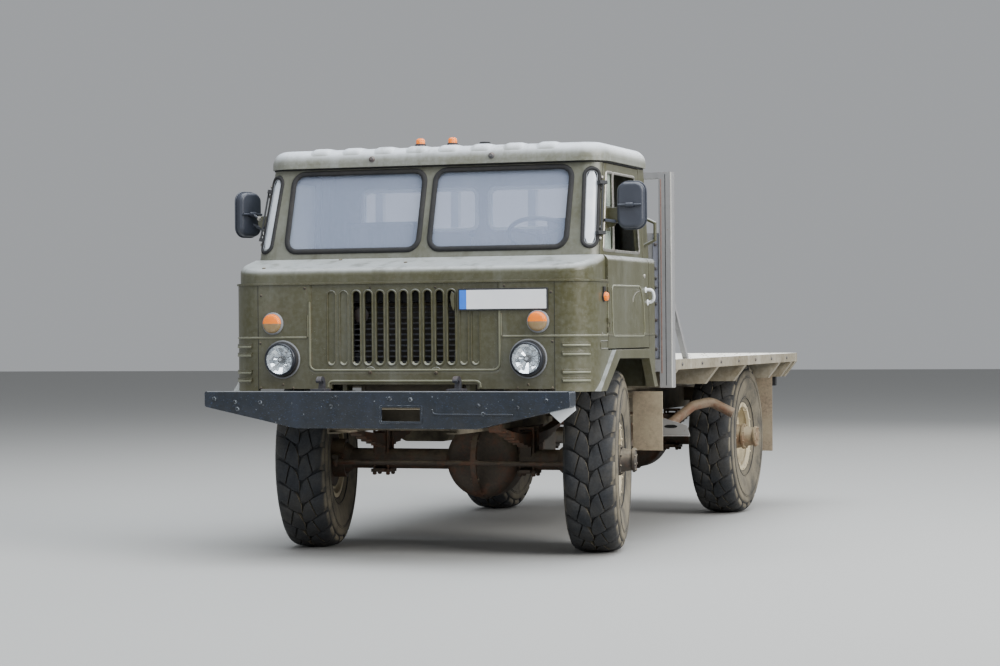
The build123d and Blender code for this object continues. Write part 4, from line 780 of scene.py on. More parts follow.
# Thin dark strips down the seams beside the corners: painted shade in the seam grooves
seams = Gathered("front_seams", "seal", "cab", sharp=30)
seams.twins((0.9135, 0.9165), (FRONT_Y - 0.0006, FRONT_Y + 0.002), (0.981, 1.597))
screws = Gathered("front_screws", "chassis", "cab", sharp=40)
for x, z in ((0.895, 1.539), (0.902, 1.26), (0.9, 0.997), (0.757, 1.016), (0.693, 0.997)):
    for side in (1, -1):
        screws.screw(front(side * x, z, -0.0004), AHEAD)
for x, z in ((-0.616, 1.579), (-0.206, 1.578), (0.196, 1.575), (0.616, 1.579)):
    screws.screw((x, RECESS_Y if abs(x) < RECESS_HALF else FRONT_Y, z), AHEAD)
for x, z in PLUGS_AT:
    screws.bolt((x, FRONT_Y - 0.001, z), AHEAD, 0.009, 0.008)
for place in ((-0.048, -2.259, 1.724), (-0.505, -2.147, 1.7495), (-0.903, -2.365, 1.7008)):
    screws.lathe(place, (0, -0.218, 0.976), [(0, 0.011), (0.004, 0.011), (0.006, 0.006), (0.006, 0)], 12)
plugs = Gathered("roof_plugs", "steel_dark", "cab", sharp=40)
plug = [(0, 0.019), (0.003, 0.019), (0.007, 0.013), (0.016, 0.01), (0.016, 0)]
for place in ((-0.371, -1.968, 2.3552), (0.386, -1.968, 2.3545)):
    plugs.lathe(place, (0, -0.977, 0.213), plug, 16)

# Number plate: a black frame, a white plate and its blue end, all blank
PLATE_X = (0.341, 0.88)
PLATE_Z = (1.439, 1.565)
PLATE_RIM = 0.009
BAND_X = PLATE_X[0] + 0.052
plate_ys = (FRONT_Y - 0.0135, FRONT_Y - 0.012)
for name, look, xs, ys, rim, bevel in (
    ("plate_frame", "black", PLATE_X, (FRONT_Y - 0.012, FRONT_Y - 0.0005), 0.0, 0.002),
    ("plate", "white", (BAND_X, PLATE_X[1] - PLATE_RIM), plate_ys, PLATE_RIM, 0.0),
    ("plate_band", "blue", (PLATE_X[0] + PLATE_RIM, BAND_X), plate_ys, PLATE_RIM, 0.0),
):
    part = Gathered(name, look, "cab", sharp=30, bevel=bevel)
    part.box((xs[0], ys[0], PLATE_Z[0] + rim), (xs[1], ys[1], PLATE_Z[1] - rim))

# Headlamps: a dark gasket, a pale grey ring round it that is a painted highlight, a bright ring, a faceted
# bowl, its bulb and the glass
HEADLAMP_AT = (0.759, 1.164)
gasket = Gathered("headlamp_gaskets", "seal", "cab", sharp=40, replaces=["headlamps"])
lamp_ring = Gathered("headlamp_rings", "ring", "cab", "lamp_metal", sharp=40)
lamp_highlight = Gathered("headlamp_seats", "grey", "cab", "lamp_metal", sharp=40)
bowl = Gathered("headlamp_bowls", "chrome", "cab", sharp=12)
shade = Gathered("headlamp_bulb_shades", "soot", "cab", sharp=35)
cover = Gathered("headlamp_glasses", "lens", "cab", sharp=60)
skin = [(0.047, 0.0838), (0.049, 0.08), (0.0515, 0.06), (0.0535, 0.03), (0.0545, 0)]
skin += [(along - 0.002, radius) for along, radius in reversed(skin)]
for side in (1, -1):
    at = front(side * HEADLAMP_AT[0], HEADLAMP_AT[1])
    gasket.lathe(at, AHEAD, [
        (0.0005, 0.0845), (0.0005, 0.1045), (0.01, 0.1045), (0.022, 0.1025), (0.03, 0.098), (0.03, 0.0845),
    ], 48, True)
    # The grey ring round the gasket: a painted highlight
    lamp_highlight.lathe(at, AHEAD, [
        (0.0003, 0.1), (0.0003, 0.1115), (0.005, 0.1125), (0.009, 0.11), (0.01, 0.1),
    ], 48, True)
    lamp_ring.lathe(at, AHEAD, [
        (0.028, 0.084), (0.028, 0.0985), (0.036, 0.0995), (0.046, 0.0965), (0.052, 0.091), (0.0535, 0.086),
        (0.05, 0.084),
    ], 48, True)
    bowl.rings([
        [
            at + Vector((radius * cos(a), -along - (wave if k % 2 else -wave), radius * sin(a)))
            for k, a in enumerate(turns(18))
        ]
        for along, radius, wave in (
            (0.047, 0.0835, 0), (0.036, 0.07, 0.004), (0.022, 0.047, 0.006), (0.012, 0.02, 0.003),
            (0.006, 0.004, 0),
        )
    ], capped=False)
    bowl.lathe(at, AHEAD, [(0.04, 0.01), (0.044, 0.009), (0.044, 0)], 16)
    shade.lathe(at, AHEAD, [(0.012, 0.019), (0.036, 0.019), (0.04, 0.015), (0.04, 0)], 20)
    shade.slab(at + Vector((0, -0.038, 0.012)), (0.1, 0.004, 0.006), (1, 0, 0), AHEAD)
    cover.lathe(at, AHEAD, skin, 48, True)

# Turn lamps, side repeaters and roof lamps
TURN_LAMP_AT = (0.819, 1.375)
ROOF_TOP = 2.422
RIB_PITCH = 0.205
ROOF_LAMP_Y = GLASS_HEAD + 0.082
turn_rings = Gathered("turn_lamp_rings", "grey", "cab", "lamp_metal", sharp=40, replaces=["marker_lamps"])
amber = Gathered("amber_lenses", "amber", "cab", "lamp_amber", sharp=50)
murk = Gathered("clear_lenses", "murk", "cab", sharp=50)
feet = Gathered("lamp_feet", "seal", "cab", sharp=40)
half_lens = (
    (0.012, 0.0003, 0), (0.012, 0.0565, 0.0565), (0.026, 0.0555, 0.0555), (0.034, 0.049, 0.049),
    (0.037, 0.036, 0.036), (0.038, 0.0003, 0),
)
for side in (1, -1):
    at = front(side * TURN_LAMP_AT[0], TURN_LAMP_AT[1])
    turn_rings.lathe(at, AHEAD, [
        (0.0005, 0.03), (0.0005, 0.066), (0.008, 0.0655), (0.012, 0.062), (0.014, 0.0575), (0.014, 0.03),
    ], 40, True)
    for piece, start in ((amber, 0.0), (murk, pi)):
        piece.rings([
            [at + Vector((wide * cos(a), -along, tall * sin(a))) for a in spaced(start, start + pi, 17)]
            for along, wide, tall in half_lens
        ])
    spot = side_point(side, -0.572, 1.514)
    out = Vector((side, 0, 0))
    feet.lathe(spot, out, [(0.0005, 0.02), (0.0005, 0.03), (0.006, 0.03), (0.01, 0.026), (0.01, 0)], 24)
    feet.slab(spot + Vector((side * 0.005, 0, 0.032)), (0.05, 0.036, 0.008), UP, out)
    amber.lathe(spot, out, [(0.009, 0.0255), (0.022, 0.025), (0.029, 0.019), (0.031, 0)], 24)
for n in (-0.5, 0.5, 1.5):
    foot = Vector((n * RIB_PITCH, ROOF_LAMP_Y, ROOF_TOP + 0.008))
    feet.lathe(foot, UP, [(0.0003, 0), (0.0003, 0.034), (0.009, 0.034), (0.014, 0.029), (0.014, 0)], 28)
    if n < 1:
        amber.lathe(foot, UP, [
            (0.012, 0), (0.012, 0.0265), (0.034, 0.0262), (0.043, 0.022), (0.0475, 0.012), (0.048, 0),
        ], 28)

# Rubber seals round the windscreen halves and the corner lights, with a grey ring painted as a highlight
# inside each corner light's seal
seal = Gathered("window_seals", "seal", "cab", sharp=60)
light_shine = Gathered("corner_light_beads", "grey", "cab", sharp=60)
panes = Gathered("corner_light_panes", "frost", "cab", "glass", sharp=60)
SCREEN_X = (0.034, 0.88)
SCREEN_Z = (1.805, 2.278)
SCREEN_SEAL = [(-0.016, 0), (-0.016, 0.005), (-0.009, 0.011), (0.006, 0.012), (0.015, 0.007), (0.017, 0)]
LIGHT_SEAL = [
    (-0.006, 0), (-0.006, 0.006), (0, 0.01), (0.01, 0.009), (0.014, 0.004), (0.014, -0.003), (0, -0.004),
]
PILLAR_R = 0.11
LIGHT_LEAN = radians(28)
light_foot = Vector((WAIST_HALF - PILLAR_R, GLASS_FOOT + PILLAR_R, WAIST_Z))
light_head = Vector((EAVES_HALF - PILLAR_R, GLASS_HEAD + PILLAR_R, EAVES_Z))
light_mid = (light_foot + light_head) / 2
light_run = (light_head - light_foot).normalized()


def corner_light(across, along, lift=0.0, side=1):
    """A point of the rounded front pillar: across it from the corner light's middle, and along its lean."""
    turn = LIGHT_LEAN + across / PILLAR_R
    point = light_mid + light_run * along + Vector((sin(turn), -cos(turn), 0)) * (PILLAR_R + lift)
    return Vector((side * point.x, point.y, point.z))


def pillar_normal(p):
    q = Vector((abs(p.x), p.y, p.z)) - light_mid
    out = q - light_run * q.dot(light_run)
    return Vector((out.x if p.x > 0 else -out.x, out.y, out.z))


for side in (1, -1):
    middle = (side * sum(SCREEN_X) / 2, sum(SCREEN_Z) / 2)
    loop = rounded(SCREEN_X[1] - SCREEN_X[0], SCREEN_Z[1] - SCREEN_Z[0], 0.07, 8, middle)
    seal.mould([screen_point(x, z, -0.001) for x, z in loop], (0, -1, SCREEN_LEAN), SCREEN_SEAL)
    path = [corner_light(a, b, 0.0, side) for a, b in rounded(0.084, 0.475, 0.0418, 8)]
    seal.mould(path[::side], pillar_normal, LIGHT_SEAL)
    path = [corner_light(a, b, -0.002, side) for a, b in rounded(0.066, 0.457, 0.0328, 8)]
    light_shine.tube(path, 0.0035, 6, closed=True)
    rings = []
    for along in spaced(-0.225, 0.225, 11):
        wide = 0.031 * sqrt(max(0.0, 1 - (max(0.0, abs(along) - 0.195) / 0.033) ** 2))
        rings.append([
            corner_light(way * wide * t, along, lift, side)
            for way, lift in ((1, -0.0055), (-1, -0.0075)) for t in spaced(-1, 1, 7)
        ])
    panes.rings(rings)

# Broad pressed ribs on the roof, over the narrow ones below
ribs = Gathered("roof_ribs", "roof", "cab", "roof_paint", sharp=60)
ROOF_FRONT = GLASS_HEAD - 0.032
CROWN_R = 0.084
spine = [
    (ROOF_FRONT + CROWN_R * (1 - cos(a)), ROOF_TOP - CROWN_R * (1 - sin(a)), -cos(a), sin(a))
    for a in spaced(radians(28), pi / 2, 9)
]
spine += [(y, ROOF_TOP, 0.0, 1.0) for y in spaced(ROOF_FRONT + 0.14, CAB_REAR - 0.075, 7)]
for x in [(n - 3.5) * RIB_PITCH for n in range(8)]:
    rings = []
    for k, (y, z, ny, nz) in enumerate(spine):
        rise = 0.011 * clamp(k / 4) * clamp((len(spine) - 1 - k) / 1.5)
        over = [(t * 0.068, rise * (0.5 + 0.5 * cos(pi * abs(t) ** 3)) - 0.0015) for t in spaced(-1, 1, 13)]
        ring = [(x + dx, y + ny * lift, z + nz * lift) for dx, lift in over]
        ring += [(x + dx, y - ny * 0.006, z - nz * 0.006) for dx, lift in over[::-4]]
        rings.append(ring)
    ribs.rings(rings)

# Mirror rods beside the corner lights, each in two clamps
rods = Gathered("mirror_rods", "black", "cab", sharp=40)
clamps = Gathered("rod_clamps", "steel", "cab", sharp=40)
for side in (1, -1):
    rods.tube([corner_light(0.058, b, 0.02, side) for b in spaced(-0.165, 0.155, 6)], 0.006, 8)
    for b in (-0.16, 0.15):
        at = corner_light(0.058, b, 0.0, side)
        out = pillar_normal(at).normalized()
        rods.slab(at + out * 0.014, (0.06, 0.02, 0.026), (out.y, -out.x, 0), out)
        for lift in (0.034, -0.03):
            screw_at = corner_light(0.062, b + lift, 0.003, side)
            clamps.lathe(screw_at, out, [(0, 0.011), (0.008, 0.01), (0.012, 0.004)], 10)

# Black gutter under the roof's lip
gutter = Gathered("roof_gutter", "seal", "cab", sharp=60)
GUTTER_Z = EAVES_Z - 0.004
GUTTER_OUT = 0.002
half = [(EAVES_HALF + GUTTER_OUT, y, GUTTER_Z) for y in (CAB_REAR - 0.08, GLASS_HEAD + PILLAR_R)]
for a in spaced(0, pi / 2, 9):
    r = PILLAR_R + GUTTER_OUT
    half.append((EAVES_HALF - PILLAR_R + r * cos(a), GLASS_HEAD + PILLAR_R - r * sin(a), GUTTER_Z))
gutter.tube(mirrored(half), 0.006, 8)

# Rear windows: pale rims inside and out
rims = Gathered("rear_window_rims", "chalk", "cab", sharp=60)
REAR_X = (0.042, EAVES_HALF - 0.238)
REAR_Z = (EAVES_Z - 0.348, EAVES_Z - 0.094)
REAR_RIM = [(-0.012, -0.001), (-0.01, 0.005), (0, 0.007), (0.01, 0.004), (0.013, -0.001)]
for side in (1, -1):
    middle = (side * sum(REAR_X) / 2, sum(REAR_Z) / 2)
    loop = rounded(REAR_X[1] - REAR_X[0], REAR_Z[1] - REAR_Z[0], 0.045, 7, middle)
    for y, facing in ((CAB_REAR - 0.031, -1), (CAB_REAR, 1)):
        rims.mould(upright(loop, y)[::-facing], (0, facing, 0), REAR_RIM)

# Doors: pressed panel, pull handle, lock, window trims, the card inside and the mirror
SIDE_SILL = WAIST_Z + 0.028
SIDE_HEAD = EAVES_Z - 0.065
DOOR_LEAN = 0.178 / (EAVES_Z - 0.014 - WAIST_Z)
SASH_FOOT = -0.478 + (SIDE_SILL - WAIST_Z) * DOOR_LEAN
SASH_HEAD = -0.478 + (SIDE_HEAD - WAIST_Z) * DOOR_LEAN
VENT_LOOP = (
    (SASH_FOOT + 0.03, SIDE_SILL), (SASH_FOOT + 0.23, SIDE_SILL), (SASH_HEAD + 0.148, SIDE_HEAD),
    (SASH_HEAD + 0.03, SIDE_HEAD),
)
DROP_LOOP = (
    (SASH_FOOT + 0.242, SIDE_SILL), (0.32, SIDE_SILL), (0.295, SIDE_HEAD), (SASH_HEAD + 0.16, SIDE_HEAD),
)
PRESS_LOOP = ((-0.405, 1.579), (0.2, 1.582), (0.27, 1.47), (0.287, 1.284), (-0.385, 1.287))
HATCH_LOOP = ((-0.64, 1.216), (-0.49, 1.216), (-0.49, 1.26), (-0.64, 1.26))
TRIM = [(-0.008, -0.002), (-0.007, 0.004), (0, 0.006), (0.007, 0.004), (0.009, -0.002)]
GRIP = (
    (0.314, 1.562, -0.002), (0.316, 1.563, 0.022), (0.325, 1.556, 0.038), (0.345, 1.527, 0.042),
    (0.354, 1.502, 0.036), (0.356, 1.49, 0.02), (0.355, 1.487, -0.002),
)
CARD_X = CAB_HALF - 0.0285
PULL_Y = DOOR_REAR - 0.2
MIRROR_SIZE = (0.163, 0.269)
RIGHT_MIRROR_TURN = radians(62)
BRACKET = ((1.066, 1.915), (1.11, 1.925), (1.16, 1.985), (1.16, 2.035), (1.062, 2.035))
for side, word in SIDES:
    body = f"{word}_door"
    outward = Vector((side, 0, 0))
    # The door's pressed line in paler paint: a painted highlight along it
    press = Gathered(f"door_pressing_{word}", "edge", body, "body_paint", sharp=60)
    path = [side_point(side, y, z) for y, z in softened(PRESS_LOOP, 0.04)]
    press.mould(path, outward, oval(0.011, 0.007))
    trim = Gathered(f"door_trim_{word}", "steel", body, sharp=60)
    for loop, radius in ((VENT_LOOP, 0.02), (DROP_LOOP, 0.024)):
        trim.mould([house_side(side, y, z) for y, z in softened(loop, radius)], outward, TRIM)
    lock = [(0, 0.014), (0.01, 0.013), (0.012, 0.009), (0.012, 0)]
    trim.lathe(side_point(side, 0.288, 1.645, -0.006), outward, lock, 16)
    arc = [(0.193 - 0.154 * sin(a), 1.554 - 0.067 * (1 - cos(a))) for a in spaced(0.0, pi / 2, 10)]
    trim.tube([side_point(side, y, z, -0.0012) for y, z in arc], 0.003, 6)
    handle = Gathered(f"door_handle_{word}", "chalk", body, sharp=60)
    handle.tube(smooth([side_point(side, *p) for p in GRIP], 4), 0.0095, 10)
    for y, z in ((0.314, 1.562), (0.355, 1.487)):
        foot = [(0, 0.018), (0.003, 0.018), (0.006, 0.012), (0.006, 0)]
        handle.lathe(side_point(side, y, z, -0.0005), outward, foot, 16)
    card = Gathered(f"door_card_{word}", "vinyl", body, bevel=0.004)
    card.box((side * CARD_X, DOOR_FRONT + 0.06, 1.26), (side * (CARD_X - 0.007), DOOR_REAR - 0.06, 1.64))
    card.bar((side * (CARD_X - 0.006), PULL_Y, 1.56), (side * (CARD_X - 0.03), PULL_Y, 1.56), 0.012)
    card.bar((side * (CARD_X - 0.024), PULL_Y, 1.56), (side * (CARD_X - 0.024), PULL_Y - 0.12, 1.54), 0.007)

    # Mirror: its glass, a rod round its head, the ribbed clamp across it and the bracket on the sash
    turned = 0.0 if side > 0 else RIGHT_MIRROR_TURN
    across = Vector((cos(turned), sin(turned), 0))
    out = Vector((sin(turned), -cos(turned), 0))
    head_x = CAB_HALF + 0.176 - MIRROR_SIZE[0] / 2 * cos(turned)
    head = Vector((side * head_x, AXLE_F - 0.28, EAVES_Z - 0.2635))
    shine = Gathered(f"mirror_glass_{word}", "mirror", body, "glass", sharp=30)
    loop = rounded(0.147, 0.253, 0.048, 7)
    shine.prism([head + across * a + UP * b - out * 0.0005 for a, b in loop], out * -0.002)
    fittings = Gathered(f"mirror_fittings_{word}", "shell", body, sharp=50)
    loop = rounded(MIRROR_SIZE[0] + 0.006, MIRROR_SIZE[1] + 0.006, 0.058, 7)
    fittings.tube([head + across * a + UP * b + out * 0.01 for a, b in loop], 0.005, 8, closed=True)
    reach = head + out * 0.07
    fittings.bar(reach - across * 0.07, reach + across * 0.07, 0.0075)
    wave = [(k * 0.0055, 0.016 if k % 2 else 0.0135) for k in range(9)]
    fittings.lathe(reach - across * 0.022, across, wave, 20)
    fittings.slab(head + out * 0.063, (0.052, 0.012, 0.04), across, out)
    elbow = Vector((side * 1.15, AXLE_F - 0.312, 2.02))
    fittings.bar(reach, elbow, 0.0085)
    bracket = Gathered(f"mirror_bracket_{word}", "body", body, "body_paint", bevel=0.002)
    bracket.prism(upright([(side * x, z) for x, z in BRACKET], AXLE_F - 0.316), (0, 0.006, 0))
    gore = ((1.066, -0.314), (1.066, -0.26), (1.11, -0.314))
    bracket.prism([(side * x, AXLE_F + y, 1.955) for x, y in gore], (0, 0, 0.005))
    bracket.box((side * 1.06, AXLE_F - 0.345, 1.9), (side * 1.07, AXLE_F - 0.255, 2.045))
    bolts = Gathered(f"mirror_bolts_{word}", "steel", body, sharp=40)
    for z in (1.925, 2.02):
        bolts.bolt((side * 1.07, AXLE_F - 0.275, z), outward, 0.007, 0.006)
    bolts.bolt(elbow + Vector((0, -0.004, 0)), AHEAD, 0.011, 0.012)

# Cab sides: the hatch behind each corner
hatch = Gathered("side_hatches", "body", "cab", "body_paint", sharp=60)
for side in (1, -1):
    loop = [side_point(side, y, z) for y, z in softened(HATCH_LOOP, 0.012, 4)]
    hatch.mould(loop, (side, 0, 0), oval(0.006, 0.005, 6))
    hatch.screw(side_point(side, -0.6, 1.3), (side, 0, 0), 0.007)

# Hubs: a dark cover over each hub, its flange with bolts, the nuts on the disc and the rim's lock ring
HUB = (
    (0.0055, 0.09), (0.0055, 0.112), (0.014, 0.112), (0.018, 0.0965), (0.04, 0.0965), (0.06, 0.092),
    (0.1, 0.083), (0.12, 0.079), (0.124, 0.092), (0.138, 0.092), (0.142, 0.076), (0.165, 0.068),
    (0.205, 0.062), (0.208, 0.073), (0.222, 0.073), (0.2265, 0.066), (0.2265, 0.03), (0.231, 0.026),
    (0.231, 0),
)
LOCK_RING = (
    (0.1, 0.212), (0.12, 0.216), (0.1225, 0.224), (0.1225, 0.238), (0.119, 0.246), (0.1155, 0.2475),
    (0.1155, 0.2455), (0.1185, 0.24), (0.1215, 0.236), (0.1215, 0.222), (0.119, 0.2185), (0.1, 0.2145),
)
NUT_R = 0.128
for word in WHEELS:
    wheel = Wheel(word)
    look = "hub" if word.startswith("front") else "hub_pale"
    hub = Gathered(f"hub_{word}", look, wheel.body, "rim_paint", sharp=30)
    hub.lathe(wheel.centre, wheel.axle, HUB, 32)
    for a in turns(8):
        for along, around, radius, height in ((0.138, 0.083, 0.0085, 0.01), (0.222, 0.064, 0.0075, 0.009)):
            hub.bolt(wheel.at(along, around, a + pi / 8), wheel.axle, radius, height, False)
    nuts = Gathered(f"wheel_nuts_{word}", "axle", wheel.body, sharp=35)
    for a in turns(6):
        nuts.lathe(wheel.at(0.005, NUT_R, a), wheel.axle, [(0, 0.02), (0.004, 0.019)], 16)
        nuts.bolt(wheel.at(0.009, NUT_R, a), wheel.axle, 0.0165, 0.016, False)
        nuts.bar(wheel.at(0.02, NUT_R, a), wheel.at(0.036, NUT_R, a), 0.008, 10)
    lock_ring = Gathered(f"lock_ring_{word}", "rim", wheel.body, "rim_paint", sharp=40)
    lock_ring.lathe(wheel.centre, wheel.axle, LOCK_RING, 64, True)
    for a in turns(12):
        lock_ring.bolt(wheel.at(0.1222, 0.229, a), wheel.axle, 0.008, 0.007, False)
    valve = [wheel.at(along, radius, 2.0) for along, radius in ((0.105, 0.212), (0.11, 0.2), (0.135, 0.195))]
    lock_ring.tube(valve, 0.0045, 8)

# Bumper: window frame, the long bead, a grey line along its top edge that is a painted highlight, rivets and
# the plate corner that hangs behind it
BUMPER_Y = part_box("bumper")[0].y
trim = Gathered("bumper_beads", "bumper", "chassis", "bumper_paint", sharp=50)
loop = upright(rounded(0.246, 0.09, 0.004, 3, (0.097, 0.856)), BUMPER_Y)
trim.mould(loop, AHEAD, [(-0.006, -0.001), (-0.006, 0.004), (0.006, 0.005), (0.008, -0.001)])
route = [(0.286, 0.885), (0.288, 0.866), (0.305, 0.857)] + [(x, 0.855) for x in spaced(0.34, 0.765, 8)]
trim.mould(smooth(upright(route, BUMPER_Y), 4), AHEAD, oval(0.012, 0.008), False)
edge = Gathered("bumper_edge", "grey", "chassis", "bumper_paint", sharp=40)
edge.tube([(x, BUMPER_Y + 0.0015, 0.9835) for x in spaced(-1.108, 1.08, 10)], 0.0025, 6)
rivets = Gathered("bumper_bolts", "bumper", "chassis", "bumper_paint", sharp=40)
for x, z in (
    (-1.06, 0.943), (-0.93, 0.925), (-0.915, 0.885), (-0.77, 0.925), (0.56, 0.905), (0.59, 0.86),
    (0.79, 0.895), (0.96, 0.935), (-0.33, 0.9), (-0.3, 0.95), (0.03, 0.945), (0.155, 0.94),
):
    rivets.bolt((x, BUMPER_Y, z), AHEAD, 0.01, 0.006)
tag = Gathered("bumper_corner_plate", "chalk", "chassis", bevel=0.001)
outline = ((1.07, 0.965), (0.945, 0.9), (0.948, 0.862), (1.01, 0.808), (1.1, 0.88), (1.08, 0.96))
tag.prism(upright(outline, BUMPER_Y + 0.095), (0, 0.003, 0))

# Headboard: bolted strips on the outer panel edge; deck: screws on each plank and bolts along its sides
BOARD_FRONT = bed_low.y - 0.08
PANEL_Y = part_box("headboard_panel")[0].y
PLANK_PITCH = 0.2487
strip = Gathered("headboard_strips", "zinc", "chassis", "board_paint", bevel=0.001)
strip.twins((1.058, 1.092), (PANEL_Y - 0.004, PANEL_Y), (bed_high.z + 0.01, 1.915))
fixings = Gathered("headboard_bolts", "steel_dark", "chassis", sharp=40)
for side in (1, -1):
    for z in (1.85, 1.7, 1.64, 1.585, 1.48, 1.38, 1.28, 1.2):
        fixings.bolt((side * 1.074, PANEL_Y - 0.004, z), AHEAD, 0.008, 0.006)
    for k in range(7):
        edge_at = (side * bed_high.x, bed_low.y + 0.15 + 0.5 * k, bed_high.z - 0.033)
        fixings.bolt(edge_at, (side, 0, 0), 0.009, 0.007)
        for x in [(n - 4) * PLANK_PITCH + side * 0.075 for n in range(9)]:
            fixings.screw((x, bed_low.y + 0.32 + 0.46 * k, bed_high.z - 0.0005), UP, height=0.003)

# Behind the grille: a shutter of slats on the radiator, with the horn
RADIATOR_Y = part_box("radiator")[0].y
shutter = Gathered("radiator_shutter", "slat", "chassis", sharp=30)
shutter.twins((0.335, 0.355), (RADIATOR_Y - 0.024, RADIATOR_Y + 0.006), (1.1, 1.585))
for z in (1.15, 1.42):
    shutter.twins((0.28, 0.34), (RADIATOR_Y - 0.004, RADIATOR_Y + 0.004), (z, z + 0.05))
for n in range(15):
    shutter.slab((0, RADIATOR_Y - 0.012, 1.115 + n * 0.032), (0.7, 0.02, 0.003), (1, 0, 0), (0, -0.5, 1))
horn = Gathered("horn", "steel_dark", "chassis", sharp=35)
horn.lathe((-0.285, RADIATOR_Y - 0.022, 1.42), AHEAD, [
    (0, 0.03), (0.004, 0.046), (0.008, 0.046), (0.011, 0.04), (0.014, 0.018), (0.016, 0.017), (0.016, 0),
], 28)

# Springs and axles: U-bolts with their nuts and plates, the differential's flange and bolts
SPRING_X = 0.47
U_BOLT_X = 0.044
U_BOLT_TOP = WHEEL_Z + 0.19
under = Gathered("spring_bolts", "spring", "chassis", "spring_steel", sharp=40)
low_bolts = Gathered("axle_bolts", "axle", "chassis", "axle_iron", sharp=35)
for axle_y in (AXLE_F, AXLE_R):
    plate_ys = (axle_y - 0.062, axle_y + 0.062)
    low_bolts.twins((SPRING_X - 0.06, SPRING_X + 0.06), plate_ys, (WHEEL_Z - 0.082, WHEEL_Z - 0.062))
    for middle in (-SPRING_X, SPRING_X):
        for y in (axle_y - 0.042, axle_y + 0.042):
            for x in (middle - U_BOLT_X, middle + U_BOLT_X):
                under.bar((x, y, WHEEL_Z - 0.1), (x, y, U_BOLT_TOP), 0.008)
                under.bolt((x, y, WHEEL_Z - 0.082), (0, 0, -1), 0.014, 0.016, False)
            under.bar((middle - 0.05, y, U_BOLT_TOP), (middle + 0.05, y, U_BOLT_TOP), 0.009)
    case = Vector((0.2, axle_y, WHEEL_Z))
    for a in turns(12):
        for x in (-0.02, 0.014):
            low_bolts.bolt(case + Vector((x, 0.228 * cos(a), 0.228 * sin(a))), (x, 0, 0), 0.01, 0.01, False)
    low_bolts.rings([
        [case + Vector((x, r * cos(a), r * sin(a))) for x, r in (
            (-0.02, 0.215), (-0.02, 0.24), (0.014, 0.24), (0.014, 0.215),
        )]
        for a in turns(48)
    ], closed=True)

# Cab inside: gauges, levers and pedals
DASH_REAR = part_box("dashboard")[1].y
REARWARD = (0, 1, 0)
gauges = Gathered("gauges", "grey", "cab", "inner_plastic", sharp=40)
faces = Gathered("gauge_faces", "black", "cab", sharp=40)
for x, radius in (
    (0.46, 0.034), (0.565, 0.046), (0.685, 0.046), (0.79, 0.034), (0.87, 0.022), (-0.25, 0.018),
    (-0.35, 0.018),
):
    dial = radius - 0.003
    gauges.lathe((x, DASH_REAR - 0.001, 1.63), REARWARD, [
        (0, radius + 0.005), (0.008, radius + 0.004), (0.008, radius - 0.002), (0.003, dial), (0.003, 0),
    ], 28)
    faces.lathe((x, DASH_REAR + 0.0025, 1.63), REARWARD, [(0, dial), (0.0012, dial), (0.0012, 0)], 24)
levers = Gathered("levers", "black", "cab", "inner_plastic", sharp=50)
boot = [(0, 0.045), (0.018, 0.036), (0.034, 0.026), (0.052, 0.014), (0.06, 0.01)]
knob = [(0, 0.008), (0.008, 0.018), (0.022, 0.023), (0.036, 0.019), (0.043, 0.008), (0.043, 0)]
for x, y, tall, lean in ((0.1, -0.1, 0.36, 0.1), (0.2, 0.02, 0.22, 0.04), (0.26, 0.1, 0.2, 0.04)):
    foot = Vector((x, AXLE_F + y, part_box("engine_cover")[1].z - 0.002))
    tip = foot + Vector((0.02, lean, tall))
    levers.lathe(foot, UP, boot, 20)
    levers.tube(smooth([foot, foot + Vector((0.01, lean * 0.2, tall * 0.5)), tip], 5), 0.0075, 8)
    levers.lathe(tip - UP * 0.012, UP, knob, 16)
for x in (0.52, 0.66, 0.8):
    foot = Vector((x, AXLE_F - 0.5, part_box("cab_floor")[1].z + 0.002))
    levers.tube([foot, foot + Vector((0, -0.05, 0.1)), foot + Vector((0, -0.01, 0.17))], 0.008, 8)
    levers.slab(foot + UP * 0.185, (0.075, 0.06, 0.012), (1, 0, 0), (0, 0.7, 0.7))

# Seats: padded cushions blown up by simulation, with a cap on how far they move, on plain frames
CUSHION_VOXEL = 0.009
CUSHION_FRAMES = 16
CUSHION_CAP = 0.016
CUSHION_SEAMS = 4
SEAM_WIDE = 0.007
RIM_WIDE = 0.012
SEAT_X = (0.42, 0.92)


def shaped(obj):
    return obj.evaluated_get(bpy.context.evaluated_depsgraph_get())


